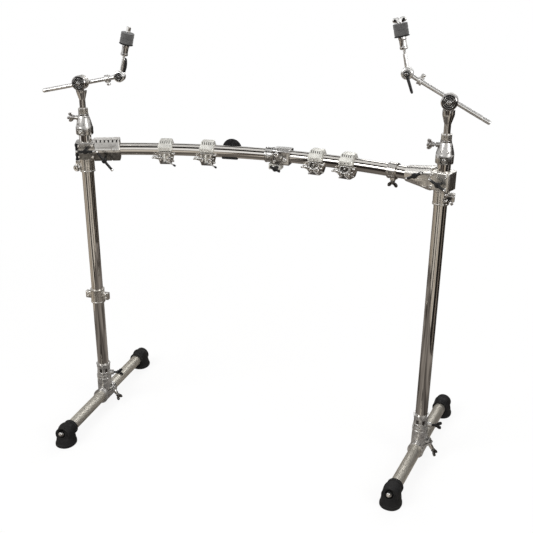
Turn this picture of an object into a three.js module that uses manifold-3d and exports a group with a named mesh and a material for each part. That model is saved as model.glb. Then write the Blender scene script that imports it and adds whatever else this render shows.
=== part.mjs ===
// Drum rack frame: two tube uprights on T feet, a curved tube bar between them, clamps along the bar
// and a boom cymbal arm on top of each upright.
// Millimetres, +Z up. X runs from the left upright to the right one, and -Y is the player's side.
import * as THREE from "three";
import { mergeVertices } from "three/addons/utils/BufferGeometryUtils.js";
import Module from "manifold-3d";

const wasm = await Module();
wasm.setup();

// Fits shared by all pieces
const fitGap = 0.4; // radial gap of a tube or rod in its bore
const seatGap = 0.3; // gap between two faces that rest on each other
const cutOverrun = 5; // how far a cutting shape runs past what it cuts
const sameCorner = 1e-4; // corners nearer than this are one corner

// Round sections
const tubeSides = 16;
const rodSides = 12;
const smallSides = 8;

// Rack tube, the same for bar, uprights and feet
const tubeDiameter = 38.1;
const tubeWall = 2;

// Layout of the rack
const uprightSpacing = 1112;
const barBendRadius = 1400;
const barBelowTop = 73.4; // from the top of the uprights down to the bar's axis
const barEndInset = 30; // from an upright's axis to the end of the bar, along the bar
const barSteps = 18;

// Uprights
const uprightLength = 914.4;
const uprightFootHeight = 83;

// T feet
const footTubeLength = 576;
const footAxisHeight = 40;
const leftFootTurn = 1.5; // degrees, clockwise from above
const rightFootTurn = 10; // degrees
const leftFootShift = 3; // how far the foot tube is slid to the back in its casting
const rightFootShift = 5;

// Rubber boots on the foot tubes
const bootOverlap = 50; // length of tube inside the boot
const bootWall = 6;
const bootTip = 24; // from the tube's end to the boot's outer edge
const soleWidth = 66;
const soleLength = 74;
const soleThickness = 8;
const bootTopHeight = 67;
const bootSides = 16;
const bellLeanShare = 0.35; // how far the bell leans back over the tube, as a share of its taper

// Foot castings
const saddleWall = 6.5;
const saddleLength = 76;
const socketWall = 5.5;
const socketTopHeight = 117;
const neckWall = 3.5;
const neckHeight = 40;
const neckRimWidth = 1.5;
const neckRimHeight = 6;
const neckGroove = 1.5;
const socketBossRadius = 9;
const socketBossReach = 34;
const socketBoltHeight = 118;
const socketBoltTurn = 20; // degrees towards the back
const saddleLugAngle = 35; // degrees above level, seen along the foot tube
const saddleLugReach = 47;
const saddleLugThickness = 17;
const saddleLugSlit = 3;
const saddleLugWidth = 22;
const saddleBoltRadius = 37; // from the foot tube's axis to the bolt's axis

// Collars that clamp round a tube
const collarWall = 4.5;
const collarLugReach = 38;
const collarLugWidth = 16;
const collarLugHeight = 24;
const collarSlit = 3;
const stopCollarHeight = 43;
const heightCollarLevel = 395;
const heightCollarHeight = 48;
const heightCollarLugReach = 42;
const barCollarLength = 27;
const barCollarInset = 126; // from the bar's right end, along the bar

// Main clamps between the bar and the uprights
const mainBlockWidth = 62;
const mainBlockDepth = 54;
const mainBlockHeight = 54;
const mainBlockRound = 8;
const mainClampTurn = 21.5; // degrees from the line between the uprights
const leftSleeveLength = 76;
const leftSleeveHeight = 68;
const leftSleeveDepth = 56;
const leftSleeveGrooveInset = 27;
const leftSleeveGrooveWidth = 3;
const leftSleeveGrooveDepth = 3;
const rightArmLength = 86;
const rightArmRootHeight = 66;
const rightArmRootDepth = 56;
const rightArmEndHeight = 46;
const rightArmEndDepth = 46;
const clampEdgeCut = 6;

// T handles of the main clamps and the centre clamp
const handleShankRadius = 4;
const handleShankSeat = 7; // length of shank inside the casting
const nearHandleStandOff = 14; // of the handles by the upright and on the centre clamp
const farHandleStandOff = 27; // of the handles on the bar
const handleHubRadius = 8;
const handleHubLength = 12;
const handleBarRadius = 4;
const uprightHandleLength = 60;
const leftBarHandleLength = 80;
const rightBarHandleLength = 58;
const leftUprightHandlePlace = 3; // from the upright's axis, along the clamp
const leftUprightHandleRise = 5; // above the bar's axis
const leftUprightHandleLean = 0; // degrees
const leftBarHandlePlace = 61;
const leftBarHandleDrop = 22;
const leftBarHandleLean = -53; // degrees
const rightUprightHandlePlace = -8;
const rightUprightHandleDrop = 3;
const rightUprightHandleLean = -26; // degrees
const rightBarHandlePlace = 57;
const rightBarHandleRise = 15;
const rightBarHandleLean = 28; // degrees

// Tom clamps
const tomClampPlaces = [-319, -184.5, 170, 271]; // along the bar, right of its middle
const tomClampGap = 0.6; // radial gap round the bar, which is bent
const tomClampLength = 42;
const tomClampTopLength = 32;
const tomClampFront = 30; // from the bar's axis to the front face
const tomClampBack = 27;
const tomClampTopFront = 14;
const tomClampTopBack = 20;
const tomClampShoulder = 13; // height of the upright part of the front face
const tomClampTop = 31;
const tomClampBottom = 42.5;
const tomClampBottomLength = 36;
const tomClampBottomFront = 24;
const tomClampBottomBack = 20;
const tomClampJawSide = 26;
const tomClampSplit = 3;
const tomClampCorner = 5;
const accessoryHoleDrop = 31.5;
const accessoryHoleRadius = 6.5;
const tomBoltDrop = 20;
const tomBoltForward = 24;
const tomWingSpan = 22; // short enough to turn past the bar

// Centre clamp
const centreClampPlace = 58.5; // along the bar, right of its middle
const centreClampLength = 54;
const centreClampHeight = 48;
const centreClampDepth = 50;
const centreRingLength = 24;
const centreRingWall = 4.5;
const centreRingGap = 3;
const centreJawLength = 40;
const centreJawDepth = 34;
const centreJawHeight = 18;
const centreJawShift = -22; // along the bar
const centreHandleLength = 36;
const centreJawHoleShift = 9; // of the accessory hole and of the handle, each way along the bar
const centreHandleLean = -22; // degrees

// Round badge behind the bar
const badgePlace = -112.5; // along the bar, right of its middle
const badgeRadius = 31;
const badgeRise = 5; // of the disc's middle above the bar's axis
const badgeThickness = 4;
const badgeDome = 2;
const badgeStandOff = 2;
const badgeClipWidth = 48;
const badgeClipThickness = 4;
const badgeClipWrap = 38; // degrees of the bar that the clip's lower lip hugs, each way

// Tube-top adapters
const adapterBandWall = 7.5;
const adapterGrip = 25; // length of upright inside the adapter
const adapterBandHeight = 27;
const adapterHeight = 66;
const adapterTopRadius = 16;
const adapterBossRadius = 7;
const adapterBossReach = 27;
const adapterBoltHeight = 51; // above the adapter's lower edge

// Boom posts
const postRadius = 9.5;
const postBelowAdapterTop = 150;
const postCollarRadius = 15;
const postCollarHeight = 17;
const postHeadStart = 48; // above the adapter's top
const postHeadFull = 70;
const postHeadRadius = 17;
const leftTiltHeight = 95; // height of the boom's tilt axis above the adapter's top
const rightTiltHeight = 106;
const tiltDiscRadius = 23;
const tiltDiscInner = 6.3; // front disc's inner face, from the post's axis
const tiltDiscOuter = 21;
const tiltHeadWeb = 13; // half the width of the web under the disc
const tiltHolderRadius = 22;
const tiltHolderBack = 20;
const boomOffset = 9; // from the post's axis to the boom's axis, to the back
const boomOffCentre = 4; // from the tilt axis to the boom's axis, square to both
const postHeadCut = 1.5;
const leftBoomAzimuth = 5; // degrees from +X towards the back
const rightBoomAzimuth = 180; // degrees
const leftBoomRise = 12; // degrees above level
const rightBoomRise = 27.7; // degrees

// Boom arms
const boomRadius = 6.35;
const boomLength = 262; // from the free end to the cymbal tilter's axis
const leftBoomReach = 126; // from the tilt axis to the cymbal tilter's axis
const rightBoomReach = 138;
const boomCollarPlace = 41; // from the cymbal tilter's axis back to the middle of the memory collar
const boomCollarRadius = 12;
const boomCollarLength = 14;
const cymbalDiscRadius = 17;
const cymbalDiscFront = 13;

// Cymbal stems, with their tilter half, sleeve and washer
const stemDiscRadius = 16;
const stemDiscThickness = 12;
const stemRadius = 4;
const stemLength = 149;
const leftStemLean = 14; // degrees from upright, towards the rack's middle
const rightStemLean = 13; // degrees
const stemSleeveStart = 63;
const stemSleeveLength = 34;
const stemSleeveRadius = 11;
const washerRadius = 21;
const washerThickness = 3;
const feltRadius = 20;
const feltHeight = 32;
const feltSeam = 1.5;

// Cymbal tilter levers
const leverLength = 55;
const leverRootRadius = 4.8;
const leverTipRadius = 3.5;
const leverHubRadius = 8;
const leverHubLength = 11;
const leftLeverAngle = 62; // degrees from the boom's own direction
const rightLeverAngle = -138; // degrees

// Wing bolts and the wing nut
const boltRadius = 4;
const boltGap = 0.4;
const wingHubRadius = 7;
const wingHubLength = 10;
const wingSpan = 32;
const wingRise = 15;
const wingThickness = 4;
const wingTipShare = 0.62; // inner edge of a wing's tip, as a share of half the span
const wingWaistShare = 0.4; // depth of the dip between the wings, as a share of their rise
const wingFootShare = 0.55; // lower corner of a wing, as a share of half the span
const barCollarShank = 10;
const shortShank = 22;
const longShank = 46;
const nutSpan = 36;

// Values that follow from the sizes above
const tubeRadius = tubeDiameter / 2;
const tubeBore = tubeRadius + fitGap;
const halfSpacing = uprightSpacing / 2;
const barCentreY = -Math.sqrt(barBendRadius ** 2 - halfSpacing ** 2);
const barEndAngle = THREE.MathUtils.radToDeg(
  Math.asin(halfSpacing / barBendRadius) - barEndInset / barBendRadius,
);
const uprightTopHeight = uprightFootHeight + uprightLength;
const barHeight = uprightTopHeight - barBelowTop;
const adapterBaseHeight = uprightTopHeight - adapterGrip;
const adapterTopHeight = adapterBaseHeight + adapterHeight;

// Finishes
const looks = {
  tube: { color: 0xc2bcb2, roughness: 0.18, metalness: 1 },
  casting: { color: 0xc6c4bb, roughness: 0.36, metalness: 1 },
  chrome: { color: 0xd4d3cf, roughness: 0.1, metalness: 1 },
  blackMetal: { color: 0x17171a, roughness: 0.42, metalness: 0.2 },
  rubber: { color: 0x161616, roughness: 0.82, metalness: 0 },
  felt: { color: 0x6c6c69, roughness: 0.96, metalness: 0 },
  badge: { color: 0x1d1e1f, roughness: 0.3, metalness: 0.1 },
};

const radians = THREE.MathUtils.degToRad;
const vector = (x, y, z) => new THREE.Vector3(x, y, z);
const upward = vector(0, 0, 1);

// A closed three.js geometry as a solid that can be joined and cut
function solidOf(geometry) {
  const bare = geometry.clone();
  bare.deleteAttribute("normal");
  bare.deleteAttribute("uv");
  const merged = mergeVertices(bare, sameCorner);
  const vertProperties = new Float32Array(merged.attributes.position.array);
  const triVerts = new Uint32Array(merged.index.array);
  return new wasm.Manifold(new wasm.Mesh({ numProp: 3, vertProperties, triVerts }));
}

function joined(...solids) {
  return solids.reduce((sum, solid) => sum.add(solid));
}

function cut(solid, ...tools) {
  return tools.reduce((rest, tool) => rest.subtract(tool), solid);
}

function addPiece(parent, name, solid, look) {
  const data = solid.getMesh();
  const geometry = new THREE.BufferGeometry();
  geometry.setAttribute("position", new THREE.BufferAttribute(data.vertProperties, 3));
  geometry.setIndex(new THREE.BufferAttribute(data.triVerts, 1));
  geometry.computeVertexNormals();
  const mesh = new THREE.Mesh(geometry, new THREE.MeshStandardMaterial(looks[look]));
  mesh.name = name;
  parent.add(mesh);
  return mesh;
}

// A round bar, or a cone frustum, from one point to another
function rod(from, to, radius, endRadius = radius, sides = rodSides) {
  const along = to.clone().sub(from);
  const geometry = new THREE.CylinderGeometry(endRadius, radius, along.length(), sides);
  geometry.rotateX(Math.PI / 2);
  const turn = new THREE.Quaternion().setFromUnitVectors(upward, along.clone().normalize());
  geometry.applyQuaternion(turn);
  const middle = from.clone().add(to).multiplyScalar(0.5);
  geometry.translate(middle.x, middle.y, middle.z);
  return solidOf(geometry);
}

// A block given by its lowest and highest corner
function block(low, high) {
  const size = high.clone().sub(low);
  const middle = low.clone().add(high).multiplyScalar(0.5);
  const geometry = new THREE.BoxGeometry(size.x, size.y, size.z);
  geometry.translate(middle.x, middle.y, middle.z);
  return solidOf(geometry);
}

// A turned piece round the Z axis, from pairs of radius and height
function turned(profile, sides = tubeSides) {
  const points = profile.map(([radius, height]) => new THREE.Vector2(radius, height));
  const geometry = new THREE.LatheGeometry(points, sides);
  geometry.rotateX(Math.PI / 2);
  return solidOf(geometry);
}

// A skin over rings of points, each ring with as many points, closed at both ends
function loft(rings) {
  const count = rings[0].length;
  const points = rings.flat();
  const centreOf = (ring) =>
    ring.reduce((sum, point) => sum.add(point), vector(0, 0, 0)).divideScalar(count);
  const first = points.push(centreOf(rings[0])) - 1;
  const last = points.push(centreOf(rings.at(-1))) - 1;
  const index = [];
  for (let i = 0; i < count; i++) {
    const next = (i + 1) % count;
    for (let r = 0; r + 1 < rings.length; r++) {
      const low = r * count;
      const high = low + count;
      index.push(low + i, low + next, high + next);
      index.push(low + i, high + next, high + i);
    }
    const top = (rings.length - 1) * count;
    index.push(first, next, i);
    index.push(last, top + i, top + next);
  }
  const geometry = new THREE.BufferGeometry().setFromPoints(points);
  geometry.setIndex(index);
  return solidOf(geometry);
}

// A level rectangle with cut corners, as a ring for a loft
function levelRing(left, right, front, back, height, corner) {
  const outline = [
    [right - corner, front],
    [right, front + corner],
    [right, back - corner],
    [right - corner, back],
    [left + corner, back],
    [left, back - corner],
    [left, front + corner],
    [left + corner, front],
  ];
  return outline.map(([x, y]) => vector(x, y, height));
}

// The same shape standing across X, for arms that run along X
function crossRing(place, depth, height, corner) {
  return levelRing(-depth / 2, depth / 2, -height / 2, height / 2, 0, corner).map((point) =>
    vector(place, point.x, point.y),
  );
}

function ellipseRing(middle, halfWidth, halfLength, sides) {
  return Array.from({ length: sides }, (_, i) => {
    const angle = (2 * Math.PI * i) / sides;
    return vector(
      middle.x + halfWidth * Math.cos(angle),
      middle.y + halfLength * Math.sin(angle),
      middle.z,
    );
  });
}

// A round section carried along the bar's bend, between two angles from the bar's middle.
// It is made about the bend's centre, where Y points to the middle of the bar.
function bentRod(radius, fromAngle, toAngle, steps) {
  const rings = [];
  for (let step = 0; step <= steps; step++) {
    const angle = radians(fromAngle + ((toAngle - fromAngle) * step) / steps);
    const outward = vector(Math.sin(angle), Math.cos(angle), 0);
    const ring = Array.from({ length: tubeSides }, (_, i) => {
      const turn = (2 * Math.PI * i) / tubeSides;
      const point = outward.clone().multiplyScalar(barBendRadius + radius * Math.cos(turn));
      point.z = radius * Math.sin(turn);
      return point;
    });
    rings.push(ring);
  }
  return loft(rings);
}

// The bar's bent bore as seen from a group that stands on the bar
function barBore(length, gap, steps = 2) {
  const halfAngle = THREE.MathUtils.radToDeg((length / 2 + cutOverrun) / barBendRadius);
  return bentRod(tubeRadius + gap, -halfAngle, halfAngle, steps).translate([0, -barBendRadius, 0]);
}

// A group whose origin lies on the bar, at a distance from its middle,
// with X along the bar and +Y to the back
function groupOnBar(parent, place) {
  const group = new THREE.Group();
  const turn = place / barBendRadius;
  group.position.set(
    barBendRadius * Math.sin(turn),
    barCentreY + barBendRadius * Math.cos(turn),
    barHeight,
  );
  group.rotation.z = -turn;
  parent.add(group);
  return group;
}

function groupAt(parent, position, turnDegrees = 0) {
  const group = new THREE.Group();
  group.position.copy(position);
  group.rotation.z = radians(turnDegrees);
  parent.add(group);
  return group;
}

// A group whose +Z points along a direction
function groupAlong(parent, position, direction, spinDegrees = 0) {
  const group = new THREE.Group();
  group.position.copy(position);
  group.quaternion.setFromUnitVectors(upward, direction.clone().normalize());
  group.rotateZ(radians(spinDegrees));
  parent.add(group);
  return group;
}

// The two wings on a bolt's or nut's hub, standing in the XZ plane from a height upwards
function wings(span, height) {
  const half = span / 2;
  const waist = height + wingRise * wingWaistShare;
  const top = height + wingRise;
  const shape = new THREE.Shape();
  shape.moveTo(-half * wingFootShare, height);
  shape.lineTo(half * wingFootShare, height);
  shape.lineTo(half, top - wingThickness);
  shape.lineTo(half, top);
  shape.lineTo(half * wingTipShare, top);
  shape.lineTo(0, waist);
  shape.lineTo(-half * wingTipShare, top);
  shape.lineTo(-half, top);
  shape.lineTo(-half, top - wingThickness);
  const geometry = new THREE.ExtrudeGeometry(shape, {
    depth: wingThickness,
    bevelEnabled: false,
  });
  geometry.translate(0, 0, -wingThickness / 2);
  geometry.rotateX(Math.PI / 2);
  return solidOf(geometry);
}

// A bolt whose shank starts at the origin and runs along +Z to a hub with two wings
function wingBolt(shankLength, span = wingSpan) {
  const shank = rod(vector(0, 0, 0), vector(0, 0, shankLength + wingHubLength), boltRadius);
  const hubTop = shankLength + wingHubLength;
  const hub = rod(vector(0, 0, shankLength), vector(0, 0, hubTop), wingHubRadius);
  return joined(shank, hub, wings(span, shankLength + wingHubLength / 2));
}

// A T handle: a shank from the origin along +Z, a hub and a cross bar along X
function tHandle(barLength, standOff) {
  const hubStart = handleShankSeat + standOff;
  const hubEnd = hubStart + handleHubLength;
  const barLevel = hubEnd - handleBarRadius - seatGap;
  const half = barLength / 2;
  const barEnd = vector(half, 0, barLevel);
  return joined(
    rod(vector(0, 0, 0), vector(0, 0, hubStart + seatGap), handleShankRadius),
    rod(vector(0, 0, hubStart), vector(0, 0, hubEnd), handleHubRadius),
    rod(vector(-half, 0, barLevel), barEnd, handleBarRadius, handleBarRadius, smallSides),
  );
}

// A collar round a vertical tube, standing on z = 0, with a split lug towards one side
function splitCollar(height, lugReach, lugSides) {
  const outer = tubeBore + collarWall;
  const lugLow = (height - collarLugHeight) / 2;
  const ring = turned([
    [0, 0],
    [outer - seatGap, 0],
    [outer, seatGap],
    [outer, height - seatGap],
    [outer - seatGap, height],
    [0, height],
  ]);
  let collar = ring;
  for (const side of lugSides) {
    const low = vector(Math.min(0, side * lugReach), -collarLugWidth / 2, lugLow);
    const high = vector(Math.max(0, side * lugReach), collarLugWidth / 2, lugLow + collarLugHeight);
    collar = collar.add(block(low, high));
  }
  const bore = rod(
    vector(0, 0, -cutOverrun),
    vector(0, 0, height + cutOverrun),
    tubeBore,
    tubeBore,
    tubeSides,
  );
  const reach = lugSides[0] * (lugReach + cutOverrun);
  const slitLow = vector(Math.min(0, reach), -collarSlit / 2, -cutOverrun);
  const slitHigh = vector(Math.max(0, reach), collarSlit / 2, height + cutOverrun);
  return cut(collar, bore, block(slitLow, slitHigh));
}

const rack = new THREE.Group();

// The curved bar is one bent tube, open at both ends
function addCurvedBar() {
  const bar = groupAt(rack, vector(0, barCentreY, barHeight));
  const past = THREE.MathUtils.radToDeg(cutOverrun / barBendRadius);
  const outer = bentRod(tubeRadius, -barEndAngle, barEndAngle, barSteps);
  const inner = bentRod(tubeRadius - tubeWall, -barEndAngle - past, barEndAngle + past, barSteps);
  addPiece(bar, "curved_bar", cut(outer, inner), "tube");
}

function addUpright(side, label) {
  const base = groupAt(rack, vector(side * halfSpacing, 0, uprightFootHeight));
  const outer = rod(vector(0, 0, 0), vector(0, 0, uprightLength), tubeRadius, tubeRadius, tubeSides);
  const hollow = rod(
    vector(0, 0, -cutOverrun),
    vector(0, 0, uprightLength + cutOverrun),
    tubeRadius - tubeWall,
    tubeRadius - tubeWall,
    tubeSides,
  );
  addPiece(base, label + "_upright", cut(outer, hollow), "tube");
}

// One rubber boot: a neck round the tube and a bell that spreads to a flat sole.
// The tube comes in along Y, and way is +1 for a boot whose outer edge is at the back.
function boot(way) {
  const neckRadius = tubeBore + bootWall;
  const bellMiddle = bootTip - soleLength / 2;
  const halfWidth = soleWidth / 2;
  const halfLength = soleLength / 2;
  const bellShares = [
    [0, 1, 1],
    [soleThickness / bootTopHeight, 1, 1],
    [0.2, 0.93, 0.93],
    [0.5, 0.86, 0.8],
    [0.75, 0.78, 0.68],
    [0.93, 0.6, 0.5],
    [1, 0.36, 0.3],
  ];
  const rings = bellShares.map(([heightShare, widthShare, lengthShare]) =>
    ellipseRing(
      vector(
        0,
        way * (bellMiddle - halfLength * (1 - lengthShare) * bellLeanShare),
        bootTopHeight * heightShare,
      ),
      halfWidth * widthShare,
      halfLength * lengthShare,
      bootSides,
    ),
  );
  const axis = (along) => vector(0, way * along, footAxisHeight);
  const neck = rod(axis(-bootOverlap), axis(bellMiddle), neckRadius, neckRadius, bootSides);
  const bore = rod(axis(-bootOverlap - cutOverrun), axis(seatGap), tubeBore, tubeBore, tubeSides);
  return cut(joined(loft(rings), neck), bore);
}

// The T casting: a saddle round the foot tube, a socket and neck round the upright, a clamping lug
// for the saddle and a boss for the bolt that holds the upright.
function footCasting() {
  const saddleRadius = tubeBore + saddleWall;
  const socketRadius = tubeBore + socketWall;
  const neckRadius = tubeBore + neckWall;
  const neckTop = socketTopHeight + neckHeight;
  const body = turned([
    [0, footAxisHeight],
    [socketRadius, footAxisHeight],
    [socketRadius, socketTopHeight - neckGroove],
    [neckRadius - neckGroove, socketTopHeight - neckGroove],
    [neckRadius - neckGroove, socketTopHeight],
    [neckRadius, socketTopHeight],
    [neckRadius, neckTop - neckRimHeight],
    [neckRadius + neckRimWidth, neckTop],
    [0, neckTop],
  ]);
  const level = (along) => vector(0, along, footAxisHeight);
  const saddle = rod(
    level(-saddleLength / 2),
    level(saddleLength / 2),
    saddleRadius,
    saddleRadius,
    tubeSides,
  );
  const lugAngle = radians(saddleLugAngle);
  const lugGeometry = new THREE.BoxGeometry(saddleLugReach, saddleLugWidth, saddleLugThickness);
  lugGeometry.translate(saddleLugReach / 2, 0, 0);
  lugGeometry.rotateY(-lugAngle);
  lugGeometry.translate(0, 0, footAxisHeight);
  const slitGeometry = new THREE.BoxGeometry(
    saddleLugReach + cutOverrun,
    saddleLugWidth + cutOverrun,
    saddleLugSlit,
  );
  slitGeometry.translate((saddleLugReach + cutOverrun) / 2, 0, 0);
  slitGeometry.rotateY(-lugAngle);
  slitGeometry.translate(0, 0, footAxisHeight);
  const bolt = saddleBoltLine();
  const boltHole = rod(
    bolt.point.clone().addScaledVector(bolt.direction, -saddleLugThickness),
    bolt.point.clone().addScaledVector(bolt.direction, saddleLugThickness),
    boltRadius + boltGap,
  );
  const bossEnd = socketBoltPoint(socketBossReach);
  const boss = rod(socketBoltPoint(0), bossEnd, socketBossRadius);
  const bossHole = rod(
    socketBoltPoint(0),
    socketBoltPoint(socketBossReach + cutOverrun),
    boltRadius + boltGap,
  );
  const uprightBore = rod(
    vector(0, 0, uprightFootHeight - seatGap),
    vector(0, 0, neckTop + cutOverrun),
    tubeBore,
    tubeBore,
    tubeSides,
  );
  const footBore = rod(
    level(-saddleLength / 2 - cutOverrun),
    level(saddleLength / 2 + cutOverrun),
    tubeBore,
    tubeBore,
    tubeSides,
  );
  return cut(
    joined(body, saddle, solidOf(lugGeometry), boss),
    uprightBore,
    footBore,
    solidOf(slitGeometry),
    boltHole,
    bossHole,
  );
}

// Where the saddle's bolt crosses the middle of its lug, and which way its wings lie
function saddleBoltLine() {
  const angle = radians(saddleLugAngle);
  const point = vector(
    saddleBoltRadius * Math.cos(angle),
    0,
    footAxisHeight + saddleBoltRadius * Math.sin(angle),
  );
  return { point, direction: vector(Math.sin(angle), 0, -Math.cos(angle)) };
}

// The bolt that holds the upright in its socket points this way
const socketBoltWay = vector(Math.cos(radians(socketBoltTurn)), Math.sin(radians(socketBoltTurn)), 0);

function socketBoltPoint(distance) {
  return socketBoltWay.clone().multiplyScalar(distance).setZ(socketBoltHeight);
}

function addFoot(side, label, turnDegrees, shift) {
  const base = groupAt(rack, vector(side * halfSpacing, 0, 0), -turnDegrees);
  const halfTube = footTubeLength / 2;
  const axis = (along) => vector(0, along + shift, footAxisHeight);
  const outer = rod(axis(-halfTube), axis(halfTube), tubeRadius, tubeRadius, tubeSides);
  const hollow = rod(
    axis(-halfTube - cutOverrun),
    axis(halfTube + cutOverrun),
    tubeRadius - tubeWall,
    tubeRadius - tubeWall,
    tubeSides,
  );
  addPiece(base, label + "_foot_tube", cut(outer, hollow), "tube");
  addPiece(groupAt(base, vector(0, shift - halfTube, 0)), label + "_front_boot", boot(-1), "rubber");
  addPiece(groupAt(base, vector(0, shift + halfTube, 0)), label + "_rear_boot", boot(1), "rubber");
  addPiece(base, label + "_foot_casting", footCasting(), "casting");
  const socketStart = socketBoltPoint(tubeRadius + seatGap);
  const socketBolt = groupAlong(base, socketStart, socketBoltWay, 90);
  addPiece(socketBolt, label + "_socket_bolt", wingBolt(longShank - tubeRadius), "blackMetal");
  const saddleBolt = saddleBoltLine();
  const saddleStart = saddleBolt.point.clone().addScaledVector(saddleBolt.direction, -saddleLugThickness / 2);
  const boltGroup = groupAlong(base, saddleStart, saddleBolt.direction, 90);
  addPiece(boltGroup, label + "_saddle_bolt", wingBolt(longShank - saddleLugThickness / 2), "chrome");
}

// The left clamp is a block round the upright with a ribbed sleeve on the bar.
// The right one has a tapering arm. Both stand with +X along the clamp, towards the rack's middle.
function addMainClamp(side, label) {
  const turn = side < 0 ? mainClampTurn : 180 - mainClampTurn;
  const clamp = groupAt(rack, vector(side * halfSpacing, 0, barHeight), turn);
  const front = side;
  const outline = new THREE.Shape();
  const halfWidth = mainBlockWidth / 2;
  const halfDepth = mainBlockDepth / 2;
  const corners = [
    [halfWidth, -halfDepth],
    [halfWidth, halfDepth],
    [-halfWidth, halfDepth],
    [-halfWidth, -halfDepth],
  ];
  corners.forEach(([x, y], i) => {
    const inX = x - Math.sign(x) * mainBlockRound;
    const inY = y - Math.sign(y) * mainBlockRound;
    const start = -Math.PI / 2 + (i * Math.PI) / 2;
    outline.absarc(inX, inY, mainBlockRound, start, start + Math.PI / 2);
  });
  const blockGeometry = new THREE.ExtrudeGeometry(outline, {
    depth: mainBlockHeight,
    bevelEnabled: false,
    curveSegments: 3,
  });
  blockGeometry.translate(0, 0, -mainBlockHeight / 2);
  const grip = solidOf(blockGeometry);
  const reach = halfWidth - clampEdgeCut;
  const arm =
    side < 0
      ? loft([
          crossRing(reach, leftSleeveDepth, leftSleeveHeight, clampEdgeCut),
          crossRing(halfWidth + leftSleeveLength, leftSleeveDepth, leftSleeveHeight, clampEdgeCut),
        ])
      : loft([
          crossRing(reach, rightArmRootDepth, rightArmRootHeight, clampEdgeCut),
          crossRing(halfWidth + clampEdgeCut, rightArmRootDepth, rightArmRootHeight, clampEdgeCut),
          crossRing(reach + rightArmLength, rightArmEndDepth, rightArmEndHeight, clampEdgeCut),
        ]);
  const tools = [
    rod(
      vector(0, 0, -leftSleeveHeight),
      vector(0, 0, leftSleeveHeight),
      tubeBore,
      tubeBore,
      tubeSides,
    ),
    clampBarBore(side),
    block(
      vector(-halfWidth - cutOverrun, -collarSlit / 2, -leftSleeveHeight),
      vector(0, collarSlit / 2, leftSleeveHeight),
    ),
  ];
  if (side < 0) tools.push(sleeveGroove(halfWidth + leftSleeveLength - leftSleeveGrooveInset));
  const handles = {
    left: [
      {
        name: "left_upright_handle",
        place: leftUprightHandlePlace,
        height: leftUprightHandleRise,
        lean: leftUprightHandleLean,
        solid: tHandle(uprightHandleLength, nearHandleStandOff),
      },
      {
        name: "left_bar_handle",
        place: leftBarHandlePlace,
        height: -leftBarHandleDrop,
        lean: leftBarHandleLean,
        solid: tHandle(leftBarHandleLength, farHandleStandOff),
      },
    ],
    right: [
      {
        name: "right_upright_handle",
        place: rightUprightHandlePlace,
        height: -rightUprightHandleDrop,
        lean: rightUprightHandleLean,
        solid: tHandle(uprightHandleLength, nearHandleStandOff),
      },
      {
        name: "right_bar_handle",
        place: rightBarHandlePlace,
        height: rightBarHandleRise,
        lean: rightBarHandleLean,
        solid: tHandle(rightBarHandleLength, farHandleStandOff),
      },
    ],
  };
  const outwardFront = vector(0, front, 0);
  for (const { name, place, height, lean, solid } of handles[label]) {
    const face = place > halfWidth ? leftSleeveDepth / 2 : halfDepth;
    const seat = vector(place, front * (face - handleShankSeat), height);
    tools.push(
      rod(
        seat.clone().addScaledVector(outwardFront, -seatGap),
        seat.clone().addScaledVector(outwardFront, handleShankSeat + cutOverrun),
        handleShankRadius + boltGap,
      ),
    );
    const handle = groupAlong(clamp, seat, outwardFront);
    const spin = new THREE.Group();
    spin.rotation.z = radians(side < 0 ? lean : 180 + lean);
    handle.add(spin);
    addPiece(spin, name, solid, "blackMetal");
  }
  addPiece(clamp, label + "_main_clamp", cut(joined(grip, arm), ...tools), "casting");
}

// A shallow groove right round the left sleeve
function sleeveGroove(place) {
  const ring = (at, inset) =>
    crossRing(at, leftSleeveDepth + cutOverrun - inset, leftSleeveHeight + cutOverrun - inset, clampEdgeCut);
  const end = place + leftSleeveGrooveWidth;
  const core = 2 * leftSleeveGrooveDepth + cutOverrun;
  return loft([ring(place, 0), ring(end, 0)]).subtract(
    loft([ring(place - cutOverrun, core), ring(end + cutOverrun, core)]),
  );
}

// The bar's bore as the clamp's own frame sees it, with a stop for the bar's end
function clampBarBore(side) {
  const end = barEndAngle + THREE.MathUtils.radToDeg(seatGap / barBendRadius);
  const clampLength = mainBlockWidth + Math.max(leftSleeveLength, rightArmLength);
  const start = barEndAngle - THREE.MathUtils.radToDeg(clampLength / barBendRadius);
  const bore = side < 0 ? [-end, -start] : [start, end];
  const turn = side < 0 ? -mainClampTurn : mainClampTurn - 180;
  return bentRod(tubeRadius + tomClampGap, bore[0], bore[1], smallSides)
    .translate([-side * halfSpacing, barCentreY, 0])
    .rotate([0, 0, turn]);
}

function addStopCollar(side, label) {
  const top = barHeight - mainBlockHeight / 2 - seatGap;
  const base = groupAt(rack, vector(side * halfSpacing, 0, top - stopCollarHeight));
  const collar = splitCollar(stopCollarHeight, collarLugReach, [side]);
  addPiece(base, label + "_stop_collar", collar, "casting");
}

function addHeightCollar() {
  const base = groupAt(rack, vector(-halfSpacing, 0, heightCollarLevel));
  const collar = splitCollar(heightCollarHeight, heightCollarLugReach, [-1, 1]);
  addPiece(base, "left_height_collar", collar, "casting");
}

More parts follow.
